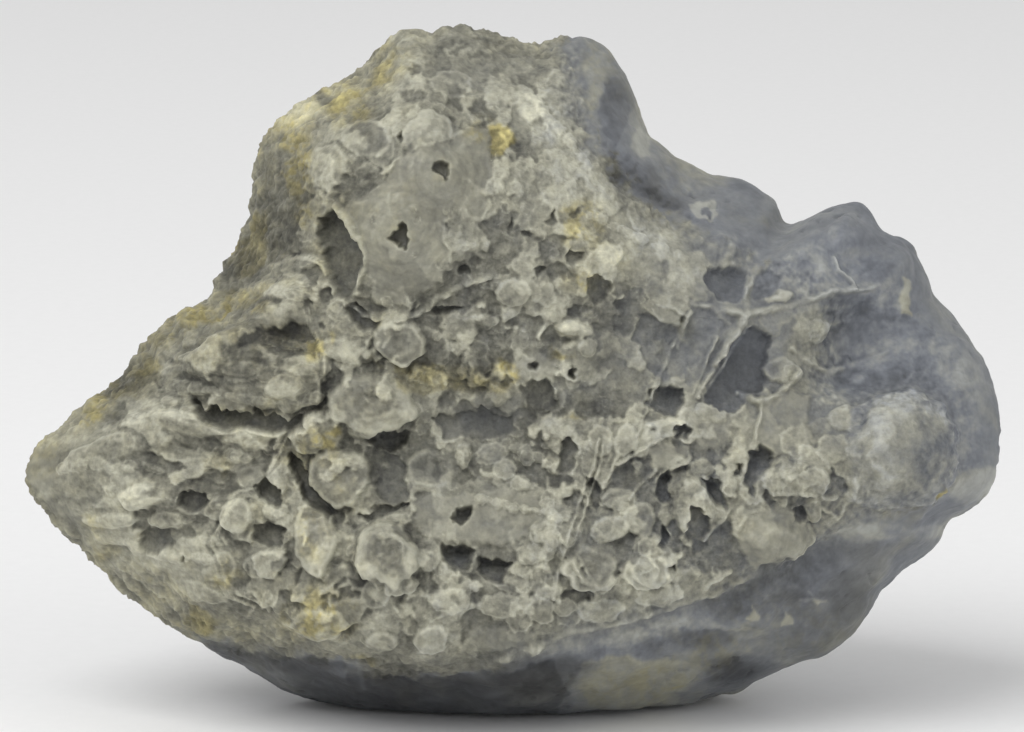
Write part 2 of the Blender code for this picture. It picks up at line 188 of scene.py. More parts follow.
# Sharp-edged hollows: how deep each is, and its outline
PITS = table(
    Pit,
    (0.6, ((7, 23), (8, 22.4), (9.1, 20.8), (10, 19.8), (9.7, 18.8), (8.7, 19.8), (7.8, 21.2))),
    (0.7, ((9.2, 19.8), (10.4, 19.4), (11.6, 18.2), (13.4, 17), (15, 16.4), (15.8, 15.6), (14.4, 15.3),
        (12.6, 16), (11, 16.8), (10, 18.2))),
    (0.5, ((17, 16.3), (17.8, 15.2), (18.8, 14.1), (20.1, 13.5), (19.4, 13.1), (18.2, 13.7), (17.3, 14.9))),
    (0.5, ((10.6, 21.6), (11.4, 20.8), (11.8, 19.6), (11.2, 19.4), (10.4, 20.6))),
    (0.5, ((18.8, 13), (20.4, 12.6), (21.6, 12), (20.8, 11.6), (19.2, 12.1))),
    (4, ((-19, 15.1), (-17.4, 15.8), (-16, 13.6), (-14.9, 11.6), (-14.7, 10.4), (-15.2, 8.1), (-16, 6.9),
        (-17.4, 7.4), (-18.4, 9.6), (-19.2, 12.6))),
    (3, ((-16.4, 6.6), (-15.4, 6.6), (-13.4, 4.4), (-13.4, 3.5), (-15, 3.3), (-16.2, 4.8))),
    (2.6, ((-8.7, 5.4), (-7.2, 6.2), (-5.4, 6.3), (-5, 5.9), (-6.4, 5.3), (-8, 4.9))),
    (2.9, ((-31.5, -3.3), (-30.9, -3.6), (-30.4, -4.1), (-29.9, -3.7), (-29.1, -3.8), (-28.7, -4.3),
        (-28.1, -4), (-27.4, -4.1), (-26.9, -4.5), (-26.3, -4.3), (-26, -4.8), (-25.4, -4.2), (-24.6, -4.4),
        (-24.2, -4.9), (-23.5, -4.6), (-22.8, -4.9), (-22.4, -5.4), (-21.8, -4.8), (-20.8, -4.7),
        (-20.7, -6), (-22.2, -6.6), (-25, -6.2), (-26.7, -5.8), (-28.7, -6.6), (-30.4, -6), (-31.3, -4.8))),
    (4, ((-14.5, -7.4), (-13.6, -6.5), (-12, -6.2), (-10.2, -6.4), (-10, -6.8), (-10.7, -7.8), (-12, -8.3),
        (-13.7, -8.4))),
    (3.6, ((-22, -8.6), (-21, -9.4), (-19.8, -11.8), (-18.6, -13.2), (-17.5, -14.8), (-18.2, -15.5),
        (-19.4, -14.5), (-20.8, -13.4), (-21.8, -11.4), (-22.4, -9.6))),
    (2.3, ((-25.6, -12), (-24.4, -11.6), (-22.9, -12.4), (-23.1, -14), (-24.4, -14.2), (-25.4, -13.4))),
    (1.7, ((-25.6, -16.2), (-24.2, -15.6), (-22.5, -16.4), (-22.8, -18), (-24.4, -18.3), (-25.4, -17.6))),
    (0.7, ((-33.2, -12.9), (-32, -12.3), (-30.5, -12.5), (-30.1, -13.6), (-31.2, -14.5), (-32.8, -14.2))),
    (0.7, ((-37.1, -17), (-36, -16.2), (-34.2, -16.4), (-33.6, -17.8), (-35.2, -18.8), (-36.6, -18.4))),
    (3, ((-6.2, -15.3), (-5.7, -14.2), (-3.8, -14), (-4, -14.8), (-5, -16.2), (-5.6, -16))),
    (4.6, ((-7.2, -18), (-5.2, -17.7), (-3.6, -18.4), (-3.5, -19.6), (-4.2, -20.7), (-6, -20.6),
        (-7.1, -19.6))),
    (4.2, ((-3.3, -19.2), (-1.8, -19.1), (0, -19.7), (-0.3, -20.6), (-0.9, -22), (-2, -22), (-3.1, -20.6))),
    (2, ((-15.2, -15.3), (-13.2, -14.2), (-11.8, -14), (-10.3, -13.7), (-10.3, -14.3), (-12, -14.9),
        (-13.4, -15.5), (-14.6, -15.9))),
    (1, ((-8.1, -5.2), (-7.2, -4.6), (-6, -5), (-4.9, -4.5), (-3.8, -4.7), (-3.2, -3.8), (-2.4, -4.6),
        (-1.2, -5), (0, -4.8), (0.2, -6.2), (-1.2, -7), (-3.2, -7.4), (-5, -7), (-6.8, -7.2))),
    (2.4, ((23.4, 4.1), (25, 3.8), (26.2, 2.5), (25.7, 1.2), (25.3, -0.2), (25.8, -1.6), (25.2, -2.7),
        (23.8, -3.2), (23, -3.8), (22.6, -4.7), (21, -4.6), (19.1, -3.8), (19.7, -2), (20.8, 0),
        (22.1, 2.2))),
    (3, ((13.8, -2.4), (15, -1.9), (16.8, -2.2), (17.3, -3.8), (16.4, -5.1), (14.4, -4.7), (13.5, -3.6))),
    (2, ((19.6, 9.6), (21.8, 10), (23.7, 9.5), (23.5, 7.4), (22.3, 6.1), (20.4, 6.6), (19.5, 8))),
    (1.2, ((24, 9.4), (25.8, 9.8), (27, 8.6), (26.4, 7), (24.6, 6.8))),
    (3.2, ((14.6, -10.8), (15.6, -10.4), (16.1, -11.4), (15.6, -12.4), (16, -13.6), (15, -13.9),
        (14.5, -12.6))),
    (3.2, ((18.8, -11.6), (19.6, -11.2), (20.8, -12), (21.6, -13.4), (21.4, -14.2), (20.2, -14),
        (19.2, -13))),
    (2.4, ((14.7, -16), (15.2, -15.8), (15.6, -17.4), (15.3, -18.5), (14.7, -18))),
    (2.2, ((22.2, -9.7), (22.9, -9.6), (22.9, -11.2), (22.3, -11.4))),
    (2.6, ((23.6, -8.4), (24.8, -8), (26, -8.6), (25.6, -10.4), (24.8, -11.6), (24.2, -13.2), (23.6, -13),
        (23.4, -11))),
    (2, ((27.9, -14.1), (28.8, -13.7), (29.4, -14.6), (29, -15.6), (28.1, -15.4))),
    (2.6, ((7.5, -11.2), (8.2, -11), (9.1, -11.8), (9, -13.4), (8.2, -14.9), (7.6, -14.2))),
    (2.4, ((15.9, -6.2), (16.8, -5.9), (17.8, -6.4), (17.7, -7.2), (16.8, -7.1), (16.2, -6.8))),
    (0.8, ((-7.9, 20.2), (-7.1, 20.5), (-6.2, 20.3), (-6.1, 18.8), (-6.7, 18.5), (-7.3, 19.1),
        (-7.9, 19.5))),
    (0.8, ((-12.1, 12.7), (-11.6, 13.3), (-10.9, 14.5), (-10.4, 13.8), (-10.4, 12.9), (-10.1, 12.4),
        (-10.4, 11.6), (-11.1, 11.8), (-11.5, 12.4))),
    (1.2, ((3.1, 14.4), (4, 15.8), (4.6, 14.4), (3.8, 14))),
    (1.2, ((2, 10), (3.3, 9.8), (2.5, 8.8))),
    (1.7, ((5.4, 11), (6, 11.5), (7, 11.1), (6.9, 10.2), (6, 9.9), (5.4, 10.4))),
    (1, ((-0.7, 13.8), (-0.1, 14.9), (0.2, 14.2), (0, 12.8), (-0.5, 13))),
    (1, ((1, 13.6), (2.1, 13.7), (2.1, 12.9), (1.2, 13))),
    (2, ((-5.5, 9.8), (-4.6, 10), (-3.8, 9.5), (-4, 9), (-5.1, 9.1))),
    (1, ((5.6, 15.2), (6.5, 15.6), (7, 15.1), (6.3, 14.7))),
    (2, ((1.6, 0.2), (2.2, 0.5), (2.8, 0.1), (2.6, -0.4), (1.9, -0.4))),
    (2, ((5.7, -0.1), (6.2, 0), (6.4, -0.6), (6.1, -1.1), (5.7, -0.7))),
    (1.2, ((-32.6, 1.9), (-31.2, 2.6), (-29.6, 2.2), (-29.8, 1.4), (-31.4, 0.9), (-32.6, 1.3))),
    (1.2, ((-11.3, 22.6), (-10.8, 23.3), (-10.6, 22.1), (-11, 21.9))),
    (1.3, ((0.9, -2.2), (2.1, -1.4), (3.6, -1.5), (4.5, -2.6), (4.2, -4.2), (2.8, -4.8), (1.4, -4.4))),
    (1.2, ((7.3, 8.8), (8.8, 9.4), (10, 8.4), (9.6, 6.8), (8.2, 6.2), (7.2, 7.2))),
    (0.5, ((-13.8, -8.4), (-12.2, -8.4), (-11.2, -8.8), (-10.4, -10), (-10.8, -11.4), (-10.2, -13),
        (-11.2, -14.2), (-12.6, -14), (-13.6, -12.6), (-13.4, -10.6))),
    (0.8, ((12.6, 5.4), (14, 5), (16.4, 3.6), (17.8, 1.4), (17.2, -1), (15.2, -1.6), (13.4, 0),
        (12.2, 2.6))),
    (0.8, ((17.8, -13.9), (19, -14.4), (20, -16.2), (19.4, -18.2), (18.2, -18.6), (17.4, -17))),
    (1.6, ((4.8, -7.4), (5.8, -7), (6.6, -8), (6.2, -10.4), (5, -10.8), (4.4, -9.2))),
    (1.4, ((-32.6, -18.7), (-32.2, -18.9), (-32.3, -19.4), (-32.7, -19.2))),
    (1.5, ((15.6, -20), (16.4, -19.9), (16.6, -20.6), (15.8, -20.9))),
)

# Smooth skins over the crust: how smooth, how far each stands out, and its outline
PLATES = table(
    Plate,
    (1, 0.35, ((-16.7, 15.8), (-15.4, 16.8), (-14, 17.4), (-12.1, 18.6), (-11.7, 20.3), (-9.9, 21.3),
        (-8, 22), (-5.9, 22.9), (-4.1, 23.8), (-2.2, 23.3), (-2.2, 21.1), (-2, 18.8), (-2.9, 17.2),
        (-2.4, 15.2), (-4.2, 14.8), (-6, 15.8), (-6.6, 14.1), (-6.2, 11.6), (-6.6, 9.6), (-8.2, 7.6),
        (-10.7, 6.4), (-13.2, 6.6), (-14.6, 8.2), (-14.5, 10.4), (-15.7, 13.6))),
    (0.75, 0.5, ((-10, -14.2), (-8.2, -12.8), (-4.2, -12.9), (-0.7, -12.2), (2.8, -13.2), (3.6, -15.2),
        (2, -17.2), (-1.2, -18), (-4.2, -17.5), (-8.2, -17.4), (-9.7, -16.1))),
    (0.85, 0.4, ((-0.1, 0.6), (1.6, 1.4), (3.3, 1.2), (4.6, -0.4), (4.2, -2.4), (2, -3.4), (0.6, -2.2))),
    (0.7, 0.4, ((-4.3, -26.4), (-1.2, -26), (2.2, -26.4), (2.2, -28), (-1.2, -28.4), (-4, -28.1))),
    (0.9, 0, ((-49.6, -10.4), (-47.8, -8), (-45.4, -7.8), (-45.2, -10.4), (-46.2, -12.6), (-48.2, -12.4))),
    (0.9, 0.6, ((22.4, -16.6), (23.4, -14.8), (26.4, -14.1), (28.8, -14.8), (30.1, -16.9), (29.1, -18.4),
        (27.8, -19), (25.8, -18.4), (24.3, -20.6), (23.1, -19.2))),
    (0.85, 0.6, ((24.6, -3.6), (27.8, -2.5), (29.7, -3), (29.6, -5.8), (27.2, -8.4), (25, -9.3),
        (24.3, -7.4))),
    (0.8, 0.4, ((13.3, -8.6), (15, -7.8), (17.2, -8), (17.7, -9), (16.4, -10), (14.4, -10.4))),
    (0.7, 0.3, ((17.6, -5.4), (19.2, -4.2), (21.2, -4.4), (22.2, -6), (21.4, -8), (19.2, -8.6),
        (17.8, -7.4))),
    (0.8, 0.3, ((7.8, -6.6), (8.8, -5.8), (10, -6.2), (10.2, -8.2), (9.2, -9.6), (8, -9))),
    (0.8, 0.3, ((10.2, -6.4), (11.4, -5.7), (12.5, -6.4), (12.4, -8.4), (11.2, -9.1), (10.3, -8.2))),
    (0.6, 0.2, ((-28, -10.2), (-26.6, -9.8), (-25, -10.4), (-25, -12), (-26.6, -12.6), (-27.8, -11.8))),
    (0.7, 0, ((-47, -12.6), (-44.2, -13.9), (-41.2, -16.4), (-40.8, -18.9), (-43.2, -17.9),
        (-47.2, -14.4))),
    (0.6, 0.2, ((18.8, -4.2), (20, -3.6), (21.6, -4), (21.9, -5.2), (20.6, -5.8), (19.2, -5.4))),
)

# Sharp lips, veins and fins: half width, rise, how pale, and the line of each
RIDGES = table(
    Ridge,
    (0.35, 0.8, 0.35, ((-17.3, 16), (-16.4, 14.8), (-15.7, 13.6), (-14.8, 11.8), (-14.6, 10.4), (-15, 8.8),
        (-15.3, 7.4))),
    (0.3, 0.6, 0.3, ((-17.1, 7.2), (-16, 6), (-14.9, 5), (-12.8, 4.6), (-10.6, 5), (-9.2, 5.2), (-7.8, 6.5),
        (-6.1, 7.5), (-4.2, 8.4), (-2, 9.1))),
    (0.14, 0.15, 0.1, ((-14, 17.3), (-12.1, 18.6), (-11.7, 20.3), (-9.9, 21.3), (-8, 21.9), (-5.9, 22.9),
        (-4.1, 23.7), (-2.2, 23.3))),
    (0.2, 0.25, 0.15, ((-6.2, 15.4), (-5, 15.8), (-4.2, 15), (-3, 14.6), (-2.2, 16), (-2.5, 17))),
    (0.18, 0.25, 0.15, ((-6.6, 14.2), (-6.8, 12.6), (-6, 11.6), (-6.2, 10.4))),
    (0.5, 0.9, 0.25, ((-32.4, -26.4), (-27, -28), (-19.8, -28.6), (-14.5, -30.2), (-10.4, -31.2),
        (-6.4, -30.6), (-1.2, -29.4), (2.8, -28))),
    (0.3, 0.5, 0.25, ((2.8, -28), (5.4, -26.6), (9.2, -26), (14.8, -24.4), (20, -23), (24, -21))),
    (1.2, 0.8, 0.06, ((7.8, 23.6), (9.4, 20.6), (11.6, 17.8), (14.2, 16), (17.8, 14), (22, 11.6))),
    (0.16, 0.6, 0.5, ((14.8, -1.5), (13.8, -3.8), (12.9, -5.8), (12.4, -7.2))),
    (0.42, 0.9, 0.45, ((23, 4.8), (22.1, 2.8), (21, 1.2))),
    (0.3, 0.9, 0.45, ((21, 1.2), (19.8, -0.8), (18.6, -3.2))),
    (0.2, 0.6, 0.45, ((23.6, 4), (22.6, 2.2), (21.5, 0.6), (20.2, -1.4), (19.2, -3))),
    (0.2, 0.5, 0.45, ((17.9, 5.4), (17.1, 3.8), (16.3, 2.1), (15, -0.6), (13.5, -4.1))),
    (0.26, 0.5, 0.42, ((16.8, 6.8), (18.3, 6.2), (19.9, 5.9), (21.5, 4.4))),
    (0.32, 0.6, 0.42, ((21.1, 5.6), (23.4, 5.2), (25.6, 5.6), (27.4, 5.9), (30.5, 7), (34, 7.6))),
    (0.3, 0.5, 0.42, ((24.6, 9.9), (23.7, 8), (23.4, 5.4))),
    (0.35, 0.9, 0.5, ((22.7, -2.6), (23.7, -3.2), (24.6, -3.8), (25.5, -3.8), (26.4, -3), (27.6, -2),
        (28.8, -0.6))),
    (0.2, 0.5, 0.35, ((9.4, -11.4), (10, -10.4), (10.6, -8.6))),
    (0.16, 0.5, 0.45, ((8.8, -7.4), (8, -10.4), (6.8, -13.4), (6, -16.4), (5, -19.4), (4, -23.4))),
    (0.14, 0.45, 0.4, ((9.2, -8), (8.5, -10.8), (7.4, -14), (6.6, -17))),
    (0.2, 0.6, 0.4, ((10.6, -9.8), (12.2, -9), (13.8, -8), (15.2, -7.2), (16.4, -6.6))),
    (0.22, 0.7, 0.45, ((14.4, -11.2), (15.6, -10.4), (17.2, -10), (17.8, -9.2), (17.6, -8.2))),
    (0.2, 0.5, 0.35, ((11.6, -13.4), (12.8, -11.8), (14.4, -10.4))),
    (0.22, 0.7, 0.45, ((19.2, -11.2), (20.4, -11.8), (21.4, -12.8), (22.3, -13))),
    (0.22, 0.6, 0.45, ((21.6, -14.4), (21, -15.4), (20, -16.6), (19.2, -17.4))),
    (0.2, 0.6, 0.4, ((26, -12.8), (27.8, -12.7), (30, -12.9), (32.4, -13.2))),
    (0.16, 0.4, 0.35, ((6.6, -19.4), (7.6, -21), (9.2, -22.2), (10.8, -21.4), (11.5, -20.2))),
    (0.3, 0.8, 0.4, ((6.1, -19.6), (7, -21.2), (8.8, -22), (10.2, -21.2))),
    (0.3, 0.8, 0.4, ((11.6, -20), (13, -21.4), (14.8, -21.8), (16, -20.6))),
    (0.25, 0.5, 0.3, ((19.4, -22), (20.4, -21.2), (21.6, -20.6))),
    (0.2, 0.5, 0.4, ((22.5, -16.4), (23.6, -14.6), (25, -14.2))),
    (0.2, 0.5, 0.4, ((27.8, -19), (29.1, -18.4), (30.1, -17.1), (29.6, -15.8))),
    (0.2, 0.5, 0.4, ((24.4, -7.4), (24.6, -5.4), (25, -3.8))),
    (0.18, 0.5, 0.4, ((32.1, 10.8), (32.6, 9.4), (33.8, 8.7), (34.3, 7.8), (32.2, 7.2))),
    (0.3, 0.4, 0.25, ((28.2, 1.6), (30, 0.4), (32, -0.1), (34.6, 0.8), (37.6, 1.8))),
    (0.14, 0.3, 0.3, ((20.5, 3), (19.4, 0.2), (18, -2.9))),
    (0.2, 0.4, 0.35, ((15.7, 6), (17.5, 4.8), (16.7, 1.6))),
    (0.2, 0.4, 0.3, ((36.6, 8), (34, 7.5), (31.8, 6.8))),
)

# Shells, cups, knobs and rosettes of the crust. The last value is the way that a shell's edge stands free, in
# degrees; where there is none, the edge stands free all round.
SHELLS = table(
    Shell,
    (-14, -3.7, 4.4, 3, -12, 1, 0.15, 4, 0.6, 250), (-11.2, 2.4, 2.7, 2.2, 0, 0.8, 0.6, 2, 0.52),
    (-16.6, 1.4, 3, 1.1, -12, 0.9, 0, 0, 0.62, 200), (-12.4, -19, 2.9, 3.2, 0, 1.1, 0.5, 4, 0.42, 220),
    (-11.2, -21.9, 1.6, 1.2, 0, 0.9, 0.1, 0, 0.8, 270), (-8.4, -19, 1.3, 1.7, 0, 0.9, 0.3, 1, 0.66, 300),
    (-17.1, -11.2, 3, 3.2, 0, 1.1, 0.15, 2, 0.6, 240), (-19.4, -6.8, 2.8, 2, 10, 0.9, 0.1, 0, 0.6, 180),
    (-19.5, -17.6, 2.2, 3.4, 0, 0.9, 0.4, 3, 0.6), (-19.9, -14.8, 1.4, 1.2, 0, 0.8, 0.3, 1, 0.6),
    (-23.3, -11, 1.2, 1.8, 10, 1.5, 0, 0, 0.86, 200), (-26.1, -11.2, 1.5, 1.3, 10, 1, 0.35, 1, 0.6, 300),
    (-27.4, -15.1, 1.6, 1.8, -10, 1, 0.2, 1, 0.68), (-23.6, -14.5, 1.2, 1, 0, 0.9, 0.2, 0, 0.66),
    (-24.2, -19.7, 1.8, 1.3, 0, 0.8, 0.7, 1, 0.58), (8.9, -7.5, 1.1, 1.8, 8, 0.8, 0.2, 1, 0.56),
    (11.4, -7.5, 1.2, 1.6, -5, 0.8, 0.25, 1, 0.58), (17.7, -13.9, 1.5, 2.7, -12, 0.8, 0.1, 0, 0.6, 20),
    (7.8, -20.4, 2.8, 2.2, 8, 0.9, 0.9, 2, 0.72, 270), (13.3, -20.6, 2.4, 1.6, 5, 0.8, 0.9, 2, 0.7, 270),
    (20, -4.6, 1.8, 1.2, -10, 1, 0.2, 0, 0.7, 120), (15.6, -6, 2, 0.7, 0, 0.8, 0, 0, 0.72, 90),
    (21.3, -11.6, 1.1, 1.5, 25, 1.2, 0.2, 0, 0.68, 300), (30.1, -14.4, 0.8, 1.3, 0, 1, 0, 0, 0.68, 270),
    (26.1, -11.5, 1.3, 1.2, 0, 1, 0.1, 0, 0.66, 200), (30, -11.6, 1.7, 1.4, 0, 1, 0.1, 0, 0.66, 60),
    (26.6, -0.4, 1.5, 1.4, 0, 0.8, 0.7, 0, 0.66), (28, -0.6, 1, 0.8, 0, 0.7, 0.2, 0, 0.66),
    (19.3, 15.7, 1.4, 0.9, 0, 0.9, 0.2, 0, 0.72, 250), (26.8, 6.9, 1, 0.6, 0, 0.7, 0.1, 0, 0.72),
    (6.3, 3.7, 1.8, 0.8, -14, 1.5, 0, 0, 0.74, 90), (7.4, 1.9, 1, 1, 0, 1.1, 0.2, 0, 0.64),
    (-8.1, -27.2, 1.6, 1.5, 0, 0.8, 0.6, 2, 0.66), (-13, -27.4, 1.7, 1, 0, 0.8, 0.5, 2, 0.62, 90),
    (5.2, -24.1, 1.2, 0.9, 0, 0.7, 0.1, 0, 0.66), (3.4, -16.8, 1.2, 1.3, 0, 1.1, 0, 0, 0.72, 270),
    (5.6, -17.2, 0.9, 1.1, 0, 1.1, 0, 0, 0.74, 270), (1.9, -19, 1.6, 1, 0, 1, 0, 0, 0.7, 270),
    (-4.9, -9, 0.8, 1.4, -8, 1.6, 0, 0, 0.84), (3.4, -7.1, 0.4, 0.4, 0, 0.8, 0, 0, 0.74),
    (-0.7, -10.4, 1.2, 1.1, 0, 0.7, 0.2, 1, 0.62), (0.9, -11.8, 1.1, 0.8, 0, 0.7, 0.1, 0, 0.6),
    (1.5, -9.2, 0.8, 0.9, 0, 0.7, 0.1, 0, 0.6), (-2, -8.8, 1.8, 1.1, 10, 0.6, 0.3, 2, 0.62),
    (-8.2, -10.4, 2.5, 2, 0, 0.7, 0.8, 1, 0.52, 200), (-2.2, -3.2, 2.1, 1, 10, 1, 0, 0, 0.62, 270),
    (2.8, -3, 1.7, 1.7, 0, 1, 0.2, 0, 0.36), (-7.5, 3.1, 0.5, 0.5, 0, 0.6, 0.9, 0, 0.64),
    (-3.2, 4.4, 1.7, 0.9, 0, 0.9, 0.1, 0, 0.62, 60), (0.1, 7.4, 1.8, 1.4, 0, 0.8, 0.4, 2, 0.56),
    (-8.4, 22.6, 2.5, 2.5, 0, 0.35, 0, 3, 0.52, 90), (-6.1, 28, 2.2, 1.4, 0, 0.5, 0.2, 1, 0.56),
    (-25.9, 9.2, 0.9, 0.7, 0, 0.9, 0, 0, 0.8), (-24.4, 7.8, 1.4, 0.8, 0, 0.8, 0, 0, 0.72),
    (-22, 9.6, 2, 0.9, 15, 0.9, 0, 0, 0.66, 230), (-33.9, -4, 0.9, 0.7, 0, 1.1, 0, 0, 0.7),
    (-31.3, -4.8, 1.3, 0.9, 20, 1.1, 0, 0, 0.68), (-25.4, -5.8, 1.4, 0.9, 0, 0.9, 0, 0, 0.66, 90),
    (-36.5, -12.9, 2.6, 1.2, 4, 0.9, 0, 0, 0.84, 200), (-39.8, -15.2, 2.7, 0.7, 0, 0.8, 0, 0, 0.8),
    (-34.5, -15.3, 1.8, 0.8, 0, 0.8, 0, 0, 0.72), (-40.8, -8.6, 4, 1.2, 14, 0.8, 0, 0, 0.66, 110),
    (-32.3, -6.2, 3.8, 0.9, -4, 0.9, 0, 0, 0.7, 90), (-27.2, -7.4, 2.4, 1, -20, 0.8, 0, 0, 0.66, 60),
    (-31.2, -22.4, 2.8, 0.9, -18, 0.6, 0, 0, 0.66), (-36.2, -20.9, 2.4, 1, -22, 0.6, 0, 0, 0.64),
    (-22, 27, 2.6, 1.2, 35, 0.8, 0, 0, 0.86, 110), (-14.4, 22.6, 2.4, 2, 0, 0.6, 0.3, 2, 0.56),
    (-18.2, 19.8, 1.8, 2.4, 0, 0.7, 0, 0, 0.66), (18.8, -10.4, 1.4, 1, 0, 0.7, 0, 0, 0.64),
    (9.8, -16.4, 2, 1.4, 20, 0.8, 0.3, 1, 0.62), (12.8, -15.4, 1.6, 1.8, 0, 0.8, 0.3, 2, 0.58),
    (10.8, -13.4, 1.8, 1.2, 0, 0.7, 0.2, 1, 0.56), (14, -18.2, 1.4, 1.2, 0, 0.8, 0.1, 0, 0.66),
    (8.8, -24.4, 2.4, 1.2, 0, 0.6, 0.1, 0, 0.66), (14.8, -22.9, 2.6, 1, 10, 0.6, 0, 0, 0.68),
    (2.8, -24.4, 1.6, 1.2, 0, 0.7, 0.2, 1, 0.62), (-1.2, -24, 2.2, 1.2, -8, 0.7, 0.1, 0, 0.62),
    (-6.2, -23.4, 2, 1.2, 0, 0.7, 0.1, 0, 0.58), (-16.6, -24.6, 2.2, 1.4, 20, 0.7, 0.2, 1, 0.64),
    (-19.2, -25.6, 2.8, 1.6, 0, 0.6, 0.1, 0, 0.62), (35.2, 12.6, 1.6, 1.4, 0, 0.5, 0, 0, 0.6),
    (30.8, 3.6, 1.4, 1.2, 0, 0.6, 0.1, 0, 0.62), (33.3, -5.4, 2, 1.2, 0, 0.7, 0.1, 0, 0.62),
    (32, -8.4, 1.8, 1.4, 0, 0.6, 0.1, 0, 0.6),
)

# Rows of lumps: half width, half height, rise and tone of each lump, and the line they follow
ROWS = table(
    Row,
    (0.9, 0.75, 0.7, 0.7, ((-23.6, 10), (-20, 10.4))),
    (0.9, 0.7, 0.6, 0.66, ((-25, 8.4), (-20, 8.2))),
    (0.9, 0.6, 0.6, 0.72, ((-30, 5.5), (-25, 7.9))),
    (0.9, 0.6, 0.5, 0.6, ((-24.2, 6.6), (-19, 6.6))),
    (1.5, 0.55, 0.45, 0.62, ((-33.2, 3.6), (-25, 4.4))),
    (1.6, 0.5, 0.45, 0.6, ((-34, 2), (-25.8, 2.6))),
    (1.5, 0.5, 0.45, 0.6, ((-35.2, 0.6), (-27.2, 0.8))),
    (1.1, 0.6, 0.5, 0.58, ((-25, 2.1), (-19.4, 1.6))),
    (1.5, 0.5, 0.5, 0.58, ((-34.4, -0.8), (-25, -0.6))),
    (1.2, 0.6, 0.5, 0.58, ((-24.8, -1), (-18.2, 0))),
    (1.1, 0.6, 0.7, 0.64, ((-34.6, -2), (-29.7, -2.7), (-25, -3.5), (-21.2, -3.9), (-18.2, -2.4))),
    (0.8, 0.5, 0.6, 0.7, ((-40.5, -6.4), (-37.1, -5.4), (-33.6, -5.5), (-29.7, -6.6), (-25.8, -5.7),
        (-24, -6.4))),
    (1, 0.5, 0.5, 0.62, ((-45.2, -10.4), (-40.2, -9.6), (-35.2, -10.4))),
    (0.9, 0.5, 0.5, 0.6, ((-43.2, -16.4), (-38.2, -17.6), (-33.2, -19), (-28.2, -19.4))),
    (0.7, 0.5, 0.5, 0.6, ((-28.7, -8.9), (-25, -8.6), (-22.7, -7.8))),
    (0.7, 0.5, 0.6, 0.64, ((-39.2, -19.4), (-34.2, -21.9), (-29.7, -23.4))),
    (0.8, 0.6, 0.5, 0.6, ((-27.2, -22.4), (-23.2, -23.4), (-16.2, -27.4))),
    (0.7, 0.6, 0.6, 0.66, ((3.3, -13.4), (4.8, -16.4), (3.3, -19.4))),
    (0.6, 0.5, 0.6, 0.64, ((-3.2, -13.4), (0.8, -14.4), (4, -15))),
    (0.7, 0.6, 0.6, 0.62, ((-4.2, -6.4), (0.8, -8.4), (4.8, -10.4))),
    (0.7, 0.5, 0.5, 0.66, ((7.8, 15.1), (12.8, 12.6), (17.8, 10.4))),
    (0.6, 0.5, 0.5, 0.64, ((0.8, 27.6), (4.8, 23.6), (7.8, 19.6))),
    (0.8, 0.6, 0.5, 0.6, ((-18.2, 22.6), (-16.2, 25.6), (-13.2, 29.6))),
)

# Dark specks along the upper edge of the crust
SPECKS = (
    ((8.7, 22.3), (9.3, 22.6), (9.5, 21.8), (9, 21.4)),
    ((9.3, 21.2), (10, 21.5), (10.3, 20.8), (9.7, 20.5)),
    ((10, 20.2), (10.9, 20.4), (11.2, 20), (10.4, 19.6)),
    ((11.1, 20.7), (11.5, 21.1), (11.7, 20.6), (11.3, 20.1)),
    ((11.1, 19.3), (12, 19.6), (12.3, 19.1), (11.5, 18.8)),
    ((12, 18.6), (12.9, 18.8), (13.2, 18.3), (12.4, 18)),
    ((13.1, 19), (13.5, 19.2), (13.7, 18.6), (13.3, 18.4)),
    ((13.1, 17.8), (14.1, 18), (14.5, 17.6), (13.6, 17.2)),
    ((14.2, 16.9), (15.1, 17.2), (15.4, 17), (14.6, 16.6)),
    ((12.5, 17), (13.2, 17.3), (13.5, 17), (12.9, 16.7)),
    ((11.2, 17.9), (11.8, 18.1), (12, 17.8), (11.5, 17.5)),
    ((10, 18.9), (10.6, 19.1), (10.8, 18.7), (10.3, 18.5)),
    ((15, 16.3), (15.9, 16.5), (16.2, 16.3), (15.4, 15.9)),
    ((9.3, 19.9), (9.7, 20.2), (9.9, 19.8), (9.5, 19.4)),
    ((14.1, 18), (14.7, 18.3), (14.9, 18), (14.4, 17.7)),
    ((11.9, 19.9), (12.3, 20.1), (12.5, 19.8), (12.1, 19.5)),
)

